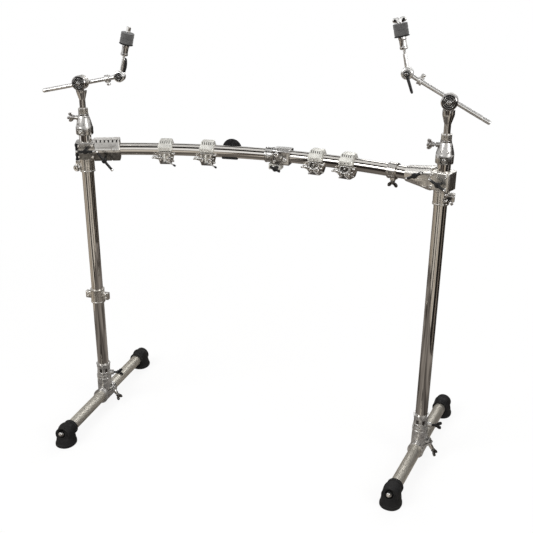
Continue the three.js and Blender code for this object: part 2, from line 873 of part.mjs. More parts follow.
function addBarCollar() {
  const place = groupOnBar(rack, radians(barEndAngle) * barBendRadius - barCollarInset);
  const outer = tubeRadius + tomClampGap + collarWall;
  const half = barCollarLength / 2;
  const ring = rod(vector(-half, 0, 0), vector(half, 0, 0), outer, outer, tubeSides);
  const boss = rod(vector(0, 0, -outer - collarWall), vector(0, 0, 0), socketBossRadius);
  const hole = rod(vector(0, 0, -outer - cutOverrun - collarWall), vector(0, 0, 0), boltRadius + boltGap);
  const bore = barBore(barCollarLength, tomClampGap);
  addPiece(place, "bar_collar", cut(joined(ring, boss), bore, hole), "casting");
  const start = vector(0, 0, -tubeRadius - tomClampGap - seatGap);
  const bolt = groupAlong(place, start, vector(0, 0, -1));
  addPiece(bolt, "bar_collar_bolt", wingBolt(barCollarShank), "chrome");
}

function addTomClamp(barPlace, number) {
  const name = "tom_clamp_" + number;
  const place = groupOnBar(rack, barPlace);
  const halfLength = tomClampLength / 2;
  const ring = (length, front, back, height) =>
    levelRing(-length / 2, length / 2, -front, back, height, tomClampCorner);
  const saddle = loft([
    ring(tomClampLength, tomClampFront, tomClampBack, tomClampSplit / 2),
    ring(tomClampLength, tomClampFront, tomClampBack, tomClampShoulder),
    ring(tomClampTopLength, tomClampTopFront, tomClampTopBack, tomClampTop),
  ]);
  const bore = barBore(tomClampLength, tomClampGap);
  addPiece(place, name + "_saddle", cut(saddle, bore), "casting");
  const jaw = loft([
    ring(tomClampBottomLength, tomClampBottomFront, tomClampBottomBack, -tomClampBottom),
    ring(tomClampLength, tomClampFront, tomClampBack, -tomClampJawSide),
    ring(tomClampLength, tomClampFront, tomClampBack, -tomClampSplit / 2),
  ]);
  const accessoryHole = rod(
    vector(0, -tomClampFront - cutOverrun, -accessoryHoleDrop),
    vector(0, tomClampBack + cutOverrun, -accessoryHoleDrop),
    accessoryHoleRadius,
  );
  const boltAxis = (x) => vector(x, -tomBoltForward, -tomBoltDrop);
  const boltHole = rod(
    boltAxis(-halfLength - cutOverrun),
    boltAxis(halfLength + cutOverrun),
    boltRadius + boltGap,
  );
  addPiece(place, name + "_jaw", cut(jaw, bore, accessoryHole, boltHole), "casting");
  const boltTip = boltAxis(halfLength + boltRadius);
  const bolt = groupAlong(place, boltTip, vector(-1, 0, 0), 90);
  const tomShank = tomClampLength + boltRadius + seatGap;
  addPiece(bolt, name + "_wing_bolt", wingBolt(tomShank, tomWingSpan), "chrome");
}

function addCentreClamp() {
  const place = groupOnBar(rack, centreClampPlace);
  const halfLength = centreClampLength / 2;
  const halfHeight = centreClampHeight / 2;
  const ringEnd = halfLength + centreRingGap + centreRingLength;
  const ringRadius = tubeRadius + tomClampGap + centreRingWall;
  const grip = loft([
    crossRing(-halfLength, centreClampDepth, centreClampHeight, tomClampCorner),
    crossRing(halfLength, centreClampDepth, centreClampHeight, tomClampCorner),
  ]);
  const neck = rod(
    vector(-halfLength - centreRingGap - seatGap, 0, 0),
    vector(0, 0, 0),
    ringRadius - centreRingWall / 2,
    ringRadius - centreRingWall / 2,
    tubeSides,
  );
  const ring = rod(
    vector(-ringEnd, 0, 0),
    vector(-halfLength - centreRingGap, 0, 0),
    ringRadius,
    ringRadius,
    tubeSides,
  );
  const bore = barBore(2 * ringEnd, tomClampGap, smallSides);
  addPiece(place, "centre_clamp_body", cut(joined(grip, neck, ring), bore), "casting");
  const jawTop = -halfHeight - seatGap;
  const jawHalf = centreJawLength / 2;
  const jawRing = (height) =>
    levelRing(-jawHalf, jawHalf, -centreJawDepth / 2, centreJawDepth / 2, height, tomClampCorner);
  const jawPlace = groupAt(place, vector(centreJawShift, 0, jawTop));
  const jaw = loft([jawRing(-centreJawHeight), jawRing(0)]);
  const middle = -centreJawHeight / 2;
  const jawHole = rod(
    vector(-centreJawHoleShift, -centreJawDepth, middle),
    vector(-centreJawHoleShift, centreJawDepth, middle),
    accessoryHoleRadius,
  );
  const handleSeat = vector(centreJawHoleShift, -centreJawDepth / 2 + handleShankSeat, middle);
  const handleHole = rod(
    handleSeat.clone().add(vector(0, seatGap, 0)),
    handleSeat.clone().add(vector(0, -handleShankSeat - cutOverrun, 0)),
    handleShankRadius + boltGap,
  );
  addPiece(jawPlace, "centre_clamp_jaw", cut(jaw, jawHole, handleHole), "chrome");
  const handle = groupAlong(jawPlace, handleSeat, vector(0, -1, 0));
  const spin = new THREE.Group();
  spin.rotation.z = radians(centreHandleLean);
  handle.add(spin);
  addPiece(spin, "centre_clamp_handle", tHandle(centreHandleLength, nearHandleStandOff), "blackMetal");
}

// A blank disc that faces the audience, on a clip that hugs the back and underside of the bar
function addBadge() {
  const place = groupOnBar(rack, badgePlace);
  const discFront = tubeRadius + tomClampGap + badgeStandOff;
  const discBack = discFront + badgeThickness;
  const disc = joined(
    rod(vector(0, discFront, badgeRise), vector(0, discBack, badgeRise), badgeRadius, badgeRadius, tubeSides),
    rod(
      vector(0, discBack - seatGap, badgeRise),
      vector(0, discBack + badgeDome, badgeRise),
      badgeRadius - badgeDome,
      badgeRadius - 2 * badgeDome,
      tubeSides,
    ),
  );
  const clipOuter = tubeRadius + tomClampGap + badgeClipThickness;
  const half = badgeClipWidth / 2;
  const lip = Math.sin(radians(badgeClipWrap)) * clipOuter;
  const wrap = rod(vector(-half, 0, 0), vector(half, 0, 0), clipOuter, clipOuter, tubeSides);
  const quarter = block(vector(-half, -lip, -clipOuter - cutOverrun), vector(half, clipOuter, 0));
  const clip = wrap.intersect(quarter);
  const badge = cut(joined(disc, clip), barBore(badgeClipWidth, tomClampGap));
  addPiece(place, "badge_disc", badge, "badge");
}

const boomSettings = {
  left: {
    side: -1,
    front: -1, // local Y of the front disc, which faces the player
    azimuth: leftBoomAzimuth,
    rise: leftBoomRise,
    tiltHeight: leftTiltHeight,
    offCentre: -boomOffCentre, // this holder carries its arm under the tilt axis, the other over it
    reach: leftBoomReach,
    stemLean: leftStemLean,
  },
  right: {
    side: 1,
    front: 1,
    azimuth: rightBoomAzimuth,
    rise: rightBoomRise,
    tiltHeight: rightTiltHeight,
    offCentre: boomOffCentre,
    reach: rightBoomReach,
    stemLean: rightStemLean,
  },
};

// Adapter, post, tilter, arm, cymbal stem and felts of one boom.
// Seen along the boom's tilt axis, +X runs along the arm to the cymbal.
function addBoom(label) {
  const boom = boomSettings[label];
  const base = vector(boom.side * halfSpacing, 0, 0);
  addAdapter(groupAt(rack, base.clone().setZ(adapterBaseHeight)), label);
  const swing = groupAt(rack, base.clone().setZ(adapterTopHeight), boom.azimuth);
  addPiece(swing, label + "_boom_post", boomPost(boom), "chrome");
  const tilter = groupAt(swing, vector(0, 0, boom.tiltHeight));
  tilter.rotation.y = -radians(boom.rise);
  addPiece(tilter, label + "_boom_tilter", boomHolder(boom), "chrome");
  const arm = groupAt(tilter, vector(boom.reach, -boom.front * boomOffset, boom.offCentre));
  addPiece(arm, label + "_boom_arm", boomArm(boom.front), "chrome");
  addCymbalStem(arm, label, boom);
  addCymbalLever(arm, label, boom);
}

function addAdapter(base, label) {
  const bandRadius = tubeBore + adapterBandWall;
  const postBore = postRadius + fitGap;
  const bodySolid = turned([
    [0, 0],
    [bandRadius - collarSlit, 0],
    [bandRadius, collarSlit],
    [bandRadius, adapterBandHeight],
    [adapterTopRadius, adapterHeight],
    [0, adapterHeight],
  ]);
  const boltLevel = (reach) => vector(-reach, 0, adapterBoltHeight);
  const boss = rod(boltLevel(0), boltLevel(adapterBossReach), adapterBossRadius);
  const tubeSeat = rod(
    vector(0, 0, -cutOverrun),
    vector(0, 0, adapterGrip + seatGap),
    tubeBore,
    tubeBore,
    tubeSides,
  );
  const postHole = rod(
    vector(0, 0, 0),
    vector(0, 0, adapterHeight + cutOverrun),
    postBore,
    postBore,
    tubeSides,
  );
  const boltHole = rod(boltLevel(0), boltLevel(adapterBossReach + cutOverrun), boltRadius + boltGap);
  const adapter = cut(joined(bodySolid, boss), tubeSeat, postHole, boltHole);
  addPiece(base, label + "_boom_adapter", adapter, "casting");
  const bolt = groupAlong(base, boltLevel(postRadius + seatGap), vector(-1, 0, 0));
  addPiece(bolt, label + "_adapter_bolt", wingBolt(shortShank), "chrome");
}

// The post with its memory collar and the front half of the tilter
function boomPost({ front, tiltHeight }) {
  const shaft = turned([
    [0, -postBelowAdapterTop],
    [postRadius, -postBelowAdapterTop],
    [postRadius, seatGap],
    [postCollarRadius, seatGap],
    [postCollarRadius, postCollarHeight],
    [postRadius, postCollarHeight],
    [postRadius, postHeadStart],
    [postHeadRadius, postHeadFull],
    [postHeadRadius, tiltHeight - tiltHolderRadius],
    [0, tiltHeight - tiltHolderRadius],
  ]);
  const axis = (along) => vector(0, front * along, tiltHeight);
  const disc = rod(axis(tiltDiscInner), axis(tiltDiscOuter), tiltDiscRadius, tiltDiscRadius, tubeSides);
  const webNear = front * tiltDiscInner;
  const webFar = front * (postHeadRadius - collarSlit);
  const web = block(
    vector(-tiltHeadWeb, Math.min(webNear, webFar), postHeadFull),
    vector(tiltHeadWeb, Math.max(webNear, webFar), tiltHeight),
  );
  const holderRoom = rod(
    axis(tiltDiscInner),
    axis(-postHeadRadius - cutOverrun),
    tiltHolderRadius + collarSlit,
    tiltHolderRadius + collarSlit,
    tubeSides,
  );
  const backNear = -front * postHeadCut;
  const backFar = -front * (postHeadRadius + cutOverrun);
  const armRoom = block(
    vector(-postHeadRadius - cutOverrun, Math.min(backNear, backFar), postHeadStart + collarSlit),
    vector(postHeadRadius + cutOverrun, Math.max(backNear, backFar), tiltHeight),
  );
  return cut(shaft, holderRoom, armRoom).add(joined(disc, web.subtract(holderRoom)));
}

// The back half of the tilter, which the boom arm slides through
function boomHolder({ front, offCentre }) {
  const axis = (along) => vector(0, front * along, 0);
  const disc = rod(
    axis(tiltDiscInner - seatGap),
    axis(-tiltHolderBack),
    tiltHolderRadius,
    tiltHolderRadius,
    tubeSides,
  );
  const holeEnd = tiltHolderRadius + cutOverrun;
  const hole = rod(
    vector(-holeEnd, -front * boomOffset, offCentre),
    vector(holeEnd, -front * boomOffset, offCentre),
    boomRadius + fitGap,
  );
  return cut(disc, hole);
}

// The arm with its memory collar and the front half of the cymbal tilter, which lies at the origin
function boomArm(front) {
  const collarMiddle = vector(-boomCollarPlace, 0, 0);
  const collarHalf = vector(boomCollarLength / 2, 0, 0);
  const shaft = rod(vector(-boomLength, 0, 0), vector(0, 0, 0), boomRadius);
  const collar = rod(
    collarMiddle.clone().sub(collarHalf),
    collarMiddle.clone().add(collarHalf),
    boomCollarRadius,
  );
  const disc = rod(
    vector(0, 0, 0),
    vector(0, front * cymbalDiscFront, 0),
    cymbalDiscRadius,
    cymbalDiscRadius,
    tubeSides,
  );
  const roomNear = -front * seatGap;
  const roomFar = -front * (cymbalDiscRadius + seatGap);
  const stemRoom = block(
    vector(-cymbalDiscRadius - cutOverrun, Math.min(roomNear, roomFar), -cymbalDiscRadius),
    vector(cymbalDiscRadius, Math.max(roomNear, roomFar), cymbalDiscRadius),
  );
  return cut(joined(shaft, collar), stemRoom).add(disc);
}

// The cymbal stem with the back half of its tilter, the felts and, on the right, the wing nut
function addCymbalStem(arm, label, { front, rise, stemLean, side }) {
  const stemGroup = groupAt(arm, vector(0, -front * (2 * seatGap + stemDiscThickness / 2), 0));
  stemGroup.rotation.y = radians(rise + stemLean);
  const face = vector(0, stemDiscThickness / 2, 0);
  const disc = rod(face.clone().negate(), face, stemDiscRadius, stemDiscRadius, tubeSides);
  const sleeveEnd = stemSleeveStart + stemSleeveLength;
  const onStem = (height) => vector(0, 0, height);
  const stem = joined(
    disc,
    rod(onStem(0), onStem(stemLength), stemRadius),
    rod(onStem(stemSleeveStart), onStem(sleeveEnd), stemSleeveRadius),
    rod(
      onStem(sleeveEnd - seatGap),
      onStem(sleeveEnd + washerThickness),
      washerRadius,
      washerRadius,
      tubeSides,
    ),
  );
  addPiece(stemGroup, label + "_cymbal_stem", stem, "chrome");
  const feltBase = sleeveEnd + washerThickness + seatGap;
  const bore = stemRadius + fitGap;
  const half = feltHeight / 2;
  const felts = turned([
    [bore, 0],
    [feltRadius, 0],
    [feltRadius, half - feltSeam],
    [feltRadius - feltSeam, half],
    [feltRadius, half + feltSeam],
    [feltRadius, feltHeight],
    [bore, feltHeight],
    [bore, 0],
  ]);
  addPiece(groupAt(stemGroup, onStem(feltBase)), label + "_cymbal_felts", felts, "felt");
  if (side < 0) return;
  const nutBase = groupAt(stemGroup, onStem(feltBase + feltHeight + seatGap));
  const hub = rod(onStem(0), onStem(wingHubLength), wingHubRadius);
  const hole = rod(onStem(-cutOverrun), onStem(wingHubLength + wingRise), bore);
  addPiece(nutBase, label + "_cymbal_wing_nut", cut(joined(hub, wings(nutSpan, 0)), hole), "chrome");
}

// The lever that clamps the cymbal tilter: behind the stem's disc on the left,
// in front of the arm's disc on the right
function addCymbalLever(arm, label, { front, side }) {
  const behind = side < 0;
  const way = behind ? -front : front;
  const seat = behind ? stemDiscThickness + 3 * seatGap : cymbalDiscFront + seatGap;
  const leverBase = groupAt(arm, vector(0, way * seat, 0));
  leverBase.rotation.y = -radians(behind ? leftLeverAngle : rightLeverAngle);
  const hub = rod(vector(0, 0, 0), vector(0, way * leverHubLength, 0), leverHubRadius);
  const middleOfHub = (way * leverHubLength) / 2;
  const grip = rod(
    vector(0, middleOfHub, 0),
    vector(leverLength, middleOfHub, 0),
    leverRootRadius - seatGap,
    leverTipRadius,
    smallSides,
  );
  addPiece(leverBase, label + "_cymbal_lever", hub.add(grip), "blackMetal");
}

addCurvedBar();
addMainClamp(-1, "left");
addMainClamp(1, "right");
addUpright(-1, "left");
addUpright(1, "right");
addFoot(-1, "left", leftFootTurn, leftFootShift);
addFoot(1, "right", rightFootTurn, rightFootShift);
addStopCollar(-1, "left");
addStopCollar(1, "right");
addHeightCollar();
addBarCollar();
tomClampPlaces.forEach((barPlace, i) => addTomClamp(barPlace, i + 1));
addCentreClamp();
addBadge();
addBoom("left");
addBoom("right");

// The rack stands with the middle of its outline over the origin
const group = new THREE.Group();
group.add(rack);
group.updateMatrixWorld(true);
const extent = new THREE.Box3().setFromObject(rack, true);
const middle = extent.getCenter(new THREE.Vector3());
rack.position.set(-middle.x, -middle.y, -extent.min.z);

export default group;
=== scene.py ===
"""Looks of a drum rack frame: two uprights on T feet, a curved bar with its clamps, and two boom arms."""

import math

import bmesh
import bpy
from mathutils import Matrix, Vector


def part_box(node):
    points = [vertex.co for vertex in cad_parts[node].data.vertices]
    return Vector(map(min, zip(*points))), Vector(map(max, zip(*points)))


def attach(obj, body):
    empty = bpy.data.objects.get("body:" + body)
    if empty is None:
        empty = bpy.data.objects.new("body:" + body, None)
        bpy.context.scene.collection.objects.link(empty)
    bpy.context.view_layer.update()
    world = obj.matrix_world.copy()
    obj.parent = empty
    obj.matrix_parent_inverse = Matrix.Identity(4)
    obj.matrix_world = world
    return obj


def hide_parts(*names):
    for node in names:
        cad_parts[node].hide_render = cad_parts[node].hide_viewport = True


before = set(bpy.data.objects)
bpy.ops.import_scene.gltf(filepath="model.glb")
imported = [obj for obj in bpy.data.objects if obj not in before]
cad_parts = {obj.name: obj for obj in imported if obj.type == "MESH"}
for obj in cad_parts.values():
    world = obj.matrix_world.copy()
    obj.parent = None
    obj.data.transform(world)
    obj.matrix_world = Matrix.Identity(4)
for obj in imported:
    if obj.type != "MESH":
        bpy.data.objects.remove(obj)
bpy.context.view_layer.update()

MM = 0.001

# Sizes in millimetres, as the CAD model has them
FIT_GAP = 0.4
SEAT_GAP = 0.3
TUBE_RADIUS = 19.05
TUBE_WALL = 2
UPRIGHT_SPACING = 1112
BAR_BEND_RADIUS = 1400
BAR_END_INSET = 30
UPRIGHT_FOOT = 83
UPRIGHT_LENGTH = 914.4
UPRIGHT_TOP = UPRIGHT_FOOT + UPRIGHT_LENGTH
BAR_HEIGHT = UPRIGHT_TOP - 73.4
HALF_SPACING = UPRIGHT_SPACING / 2
BEND_CENTRE_Y = -math.sqrt(BAR_BEND_RADIUS**2 - HALF_SPACING**2)
BAR_END_ANGLE = math.degrees(math.asin(HALF_SPACING / BAR_BEND_RADIUS) - BAR_END_INSET / BAR_BEND_RADIUS)
TUBE_BORE = TUBE_RADIUS + FIT_GAP
CLAMP_BORE = TUBE_RADIUS + 0.6

FOOT_TUBE_LENGTH = 576
FOOT_AXIS = 40
BOOT_TIP = 24
BOOT_OVERLAP = 50
BOOT_WALL = 6
SOLE_WIDTH = 66
SOLE_LENGTH = 73.4
BOOT_HEIGHT = 67
SADDLE_LENGTH = 76
SADDLE_RADIUS = TUBE_BORE + 6.5
SOCKET_RADIUS = TUBE_BORE + 5.5
SOCKET_TOP = 117
NECK_RADIUS = TUBE_BORE + 3.5
NECK_TOP = SOCKET_TOP + 40
LUG_ANGLE = 35
LUG_REACH = 47
LUG_THICKNESS = 17
LUG_WIDTH = 22
LUG_BOLT_RADIUS = 37
SOCKET_BOLT_HEIGHT = 118
SOCKET_BOLT_TURN = 20

COLLAR_WALL = 4.5
COLLAR_LUG_HALF_DEPTH = 8
CLAMP_SLIT = 3
STOP_COLLAR_HEIGHT = 43
HEIGHT_COLLAR_LEVEL = 395
HEIGHT_COLLAR_HEIGHT = 48
BAR_COLLAR_LENGTH = 27
BAR_COLLAR_INSET = 126
TOM_CLAMP_PLACES = (-319, -184.5, 170, 271)
CENTRE_CLAMP_PLACE = 58.5
BADGE_PLACE = -112.5
JAW_BOLT = (-24, -20)
JAW_ROD_HEIGHT = -31.5
ROD_BORE = 6.5
BLOCK_WIDTH = 62
BLOCK_DEPTH = 54
BLOCK_HEIGHT = 54
CLAMP_TURN = 21.5
SLEEVE_LENGTH = 76
SLEEVE_HEIGHT = 68
SLEEVE_DEPTH = 56
SLEEVE_MIDDLE = BLOCK_WIDTH / 2 + 36
ARM_LENGTH = 86
ARM_ROOT = 66
ARM_END = 46

SHANK_RADIUS = 4
BOLT_GAP = 0.4
HANDLE_SEAT = 7
WING_HUB = 10
WING_RISE = 15
WING_SPAN = 32
WING_THICKNESS = 4.8
FOOT_WING_THICKNESS = 6.6
BOLT_HEAD_REACH = 46

ADAPTER_BASE = UPRIGHT_TOP - 25
ADAPTER_HEIGHT = 66
ADAPTER_TOP = ADAPTER_BASE + ADAPTER_HEIGHT
ADAPTER_BOLT_HEIGHT = 51
TILTER_SEAT = 6.3
TILTER_FACE = 21
POST_RADIUS = 9.5
BOOM_RADIUS = 6.35
BOOM_LENGTH = 262
BOOM_OFFSET = 9
ARM_FACE = 13
LEVER_LENGTH = 55
STEM_RADIUS = 4
STEM_LENGTH = 149
STEM_SLEEVE_TOP = 97
FELT_BASE = 100.3
FELT_HEIGHT = 16
TOP_FITTING_BASE = 132.7

SIDES = ((-1, "left"), (1, "right"))
TO_PLAYER = (0, -1, 0)
# Count and spacing of the notches in the left sleeve and in the tom clamps' saddles
SLEEVE_NOTCHES = (6, 12.6)
SADDLE_NOTCHES = (5, 6.6)
FINE = 72
MEDIUM = 48
SMALL = 24
BEND_POINTS = 121
POLE = 1e-4

# The photograph's frame, and the lens that was found for it
PHOTO_WIDTH = 533
FOCAL_PIXELS = 820.1
SENSOR_WIDTH = 36
CLIP_END = 50


# ---------------------------------------------------------------- places
def shift(x=0.0, y=0.0, z=0.0):
    return Matrix.Translation((x, y, z))


def turn(degrees, axis="Z"):
    return Matrix.Rotation(math.radians(degrees), 4, axis)


def facing(way):
    """Turns +Z to a direction by the shortest way."""
    return Vector((0, 0, 1)).rotation_difference(Vector(way)).to_matrix().to_4x4()


def at(spot, way):
    """The place of a piece that stands at a spot with its Z along a way."""
    return Matrix.Translation(spot) @ facing(way)


low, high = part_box("left_upright")
upright_middle = (low + high) / 2 / MM
rack = shift(upright_middle.x + HALF_SPACING, upright_middle.y, 0)


def on_bar(place):
    """A place on the bar's axis, so far right of its middle, with X along the bar and +Y to the back."""
    bend = rack @ shift(0, BEND_CENTRE_Y, BAR_HEIGHT)
    return bend @ turn(-math.degrees(place / BAR_BEND_RADIUS)) @ shift(0, BAR_BEND_RADIUS, 0)


# ---------------------------------------------------------------- nodes
class Nodes:
    """Adds nodes to one tree. Each named socket gets a value or a link."""

    def __init__(self, tree):
        self.tree = tree

    def add(self, kind, settings=None, sockets=None):
        node = self.tree.nodes.new(kind)
        for key, value in (settings or {}).items():
            if key == "stops":
                self.set_stops(node.color_ramp, value)
            else:
                setattr(node, key, value)
        for key, value in (sockets or {}).items():
            value = getattr(value, "socket", value)
            if isinstance(value, bpy.types.NodeSocket):
                self.tree.links.new(value, node.inputs[key])
            else:
                node.inputs[key].default_value = value
        return node

    @staticmethod
    def set_stops(ramp, stops):
        while len(ramp.elements) < len(stops):
            ramp.elements.new(0.5)
        for element, (position, level) in zip(ramp.elements, stops):
            element.position = position
            element.color = (level, level, level, 1)


class Number:
    """A number that varies over a surface. Sums and products of it add Math nodes."""

    def __init__(self, nodes, socket):
        self.nodes = nodes
        self.socket = socket

    def math(self, operation, first, second=0.0):
        node = self.nodes.add("ShaderNodeMath", {"operation": operation}, {0: first, 1: second})
        return Number(self.nodes, node.outputs[0])

    def __add__(self, other):
        return self.math("ADD", self, other)

    def __sub__(self, other):
        return self.math("SUBTRACT", self, other)

    def __rsub__(self, other):
        return self.math("SUBTRACT", other, self)

    def __mul__(self, other):
        return self.math("MULTIPLY", self, other)

    def __pow__(self, other):
        return self.math("POWER", self, other)

    __radd__ = __add__
    __rmul__ = __mul__

    def ramp(self, *stops):
        node = self.nodes.add("ShaderNodeValToRGB", {"stops": stops}, {0: self})
        return Number(self.nodes, node.outputs[0])


class Finish(Nodes):
    """One surface finish: its material, the slot name that it keeps and the nodes of its look."""

    def __init__(self, name, slot, **fixed):
        self.material = bpy.data.materials.new(name)
        self.material.use_nodes = True
        super().__init__(self.material.node_tree)
        self.slot = slot
        self.shader = self.tree.nodes["Principled BSDF"]
        for socket, value in fixed.items():
            self.shader.inputs[socket.replace("_", " ")].default_value = value
        self.place = self.add("ShaderNodeTexCoord").outputs["Object"]

    def stretched(self, x, y, z):
        """Object coordinates pulled out, so that a grain runs along a piece."""
        mapping = self.add("ShaderNodeMapping", None, {"Vector": self.place, "Scale": (x, y, z)})
        return mapping.outputs[0]

    def noise(self, scale, detail=3.0, rough=0.5, place=None):
        sockets = {"Vector": place or self.place, "Scale": scale, "Detail": detail, "Roughness": rough}
        return Number(self, self.add("ShaderNodeTexNoise", None, sockets).outputs["Fac"])

    def cells(self, scale, place=None):
        sockets = {"Vector": place or self.place, "Scale": scale}
        return Number(self, self.add("ShaderNodeTexVoronoi", None, sockets).outputs["Distance"])

    def colour(self, first, second, share):
        """Mixes two colours over the surface. The first may itself be such a mix."""
        first = first if isinstance(first, bpy.types.NodeSocket) else (*first, 1)
        mix = self.add("ShaderNodeMix", {"data_type": "RGBA"}, {0: share, 6: first, 7: (*second, 1)})
        self.tree.links.new(mix.outputs[2], self.shader.inputs["Base Color"])
        return mix.outputs[2]

    def roughness(self, number):
        self.tree.links.new(number.socket, self.shader.inputs["Roughness"])

    def bump(self, height, depth, strength=1.0):
        sockets = {"Height": height, "Distance": depth * MM, "Strength": strength}
        node = self.add("ShaderNodeBump", None, sockets)
        self.tree.links.new(node.outputs[0], self.shader.inputs["Normal"])


WORN_METAL = (0.83, 0.82, 0.79)


def mirror_chrome(name, slot, light, dark, gloss, grain_along):
    """Polished chrome with faint smears and a fine drawn grain along the piece."""
    finish = Finish(name, slot, Metallic=1.0)
    smears = finish.noise(9, 4, 0.6)
    grain = finish.noise(260, 2, 0.5, finish.stretched(*grain_along))
    finish.colour(light, dark, (smears * 0.7 + grain * 0.3).ramp((0.35, 0), (0.75, 1)))
    finish.roughness(smears ** 2 * 0.08 + grain * 0.03 + gloss)
    finish.bump(smears, 0.05, 0.15)
    return finish


def cast_metal(name, light, dark, gloss, wear=0.45, spread=46, metallic=1.0):
    """Bead-blasted and plated castings: fine grain, mottled tone, worn bright in places."""
    finish = Finish(name, "casting", Metallic=metallic)
    mottle = finish.noise(spread, 5, 0.65)
    grain = finish.noise(620, 3, 0.6)
    pits = finish.cells(900)
    tone = (mottle * 0.65 + grain * 0.35).ramp((0.3, 0), (0.7, 1))
    first = finish.colour(light, dark, tone)
    worn = finish.noise(120, 2, 0.5).ramp((0.62, 0), (0.74, 1))
    finish.colour(first, WORN_METAL, worn * wear)
    finish.roughness(mottle * wear * 0.45 + grain * 0.08 + gloss)
    finish.bump(grain * 0.7 + pits * 0.3, 0.06, wear)
    return finish


def sleeve_casting():
    """The left clamp, painted by height: painted shade over the lower face, a painted highlight along the rib
    at the bar's height and on the top edge, and a blasted upper face between.
    """
    finish = Finish("sleeve_casting", "casting", Metallic=1.0)
    height = Number(finish, finish.add("ShaderNodeSeparateXYZ", None, {0: finish.place}).outputs[2])
    rise = (height - BAR_HEIGHT * MM) * (1 / (80 * MM)) + 0.5
    # Painted by height: painted shade on the lower face, a painted highlight on the rib and on the top edge, a
    # mid tone on the upper face
    painted_shade_low, rib = ((0.08, 0.04), (0.40, 0)), ((0.45, 0.95), (0.55, 0.95))
    upper_face_with_painted_highlight = ((0.60, 0.4), (0.86, 0.46), (0.90, 1))
    painted_light_by_height = rise.ramp(*painted_shade_low, *rib, *upper_face_with_painted_highlight)
    mottle = finish.noise(95, 5, 0.7)
    grain = finish.noise(560, 3, 0.6)
    tone = painted_light_by_height * 0.8 + (mottle * 0.6 + grain * 0.4).ramp((0.36, 0), (0.64, 1)) * 0.3
    finish.colour((0.085, 0.08, 0.075), (0.88, 0.86, 0.82), tone)
    finish.roughness(mottle * 0.2 + grain * 0.08 + 0.16)
    finish.bump(mottle * 0.6 + grain * 0.4, 0.25, 0.5)
    return finish


def satin_casting():
    """The pale, blasted and plated tops of the bar clamps, which stay light all over."""
    finish = Finish("saddle_casting", "casting", Metallic=0.6)
    mottle = finish.noise(70, 5, 0.65)
    grain = finish.noise(560, 3, 0.6)
    tone = (mottle * 0.6 + grain * 0.4).ramp((0.32, 0), (0.66, 1))
    finish.colour((0.60, 0.59, 0.54), (0.86, 0.85, 0.80), tone)
    finish.roughness(mottle * 0.2 + grain * 0.1 + 0.26)
    finish.bump(grain, 0.07, 0.5)
    return finish


def satin_tube():
    """Brushed, warm plated steel of the foot tubes, drawn along Y."""
    finish = Finish("satin_foot_tube", "foot_tube", Metallic=0.92)
    brush = finish.noise(240, 3, 0.6, finish.stretched(1, 0.012, 1))
    smears = finish.noise(12, 4, 0.6)
    tone = (brush * 0.06 + smears * 0.94).ramp((0.3, 0), (0.7, 1))
    finish.colour((0.70, 0.675, 0.605), (0.55, 0.52, 0.46), tone)
    finish.roughness(brush * 0.01 + smears * 0.08 + 0.42)
    return finish


def black_coat():
    """Black oxide and paint on handles and levers, rubbed lighter where hands hold it."""
    finish = Finish("black_handle_coat", "black_metal", Specular_IOR_Level=0.4)
    wear = finish.noise(85, 5, 0.7)
    grain = finish.noise(900, 2, 0.5)
    finish.colour((0.006, 0.006, 0.0065), (0.035, 0.033, 0.03), wear.ramp((0.55, 0), (0.8, 1)))
    finish.roughness(wear * 0.25 + grain * 0.1 + 0.22)
    finish.bump(grain, 0.04, 0.4)
    return finish


def boot_rubber():
    """Matt moulded rubber with a fine skin and dust near the floor."""
    finish = Finish("boot_rubber", "rubber", Specular_IOR_Level=0.28)
    skin_grain = finish.noise(700, 4, 0.65)
    blotch = finish.noise(22, 4, 0.6)
    tone = (blotch * 0.7 + skin_grain * 0.3).ramp((0.4, 0), (0.75, 1))
    finish.colour((0.005, 0.005, 0.0055), (0.019, 0.018, 0.0175), tone)
    finish.roughness(blotch * 0.2 + skin_grain * 0.12 + 0.46)
    finish.bump(skin_grain, 0.12, 0.5)
    return finish


def wool_felt():
    """Pressed grey wool: short fibres lying level round the felt."""
    finish = Finish("wool_felt", "felt", Sheen_Weight=0.35, Sheen_Roughness=0.5, Specular_IOR_Level=0.1)
    fibres = finish.noise(520, 6, 0.75, finish.stretched(1, 1, 3.2))
    clumps = finish.noise(110, 4, 0.7)
    tone = (fibres * 0.6 + clumps * 0.4).ramp((0.3, 0), (0.68, 1))
    finish.colour((0.034, 0.034, 0.033), (0.125, 0.122, 0.12), tone)
    finish.roughness(clumps * 0.1 + 0.88)
    finish.bump(fibres * 0.7 + clumps * 0.3, 0.5, 0.8)
    return finish


def gloss_plastic(name, slot, dark, light, gloss):
    """Black moulded plastic with a soft polish and faint scuffs."""
    finish = Finish(name, slot, Specular_IOR_Level=0.3)
    scuffs = finish.noise(160, 5, 0.7)
    grain = finish.noise(850, 2, 0.5)
    finish.colour(dark, light, scuffs.ramp((0.5, 0), (0.8, 1)))
    finish.roughness(scuffs * 0.2 + gloss)
    finish.bump(grain, 0.03, 0.35)
    return finish


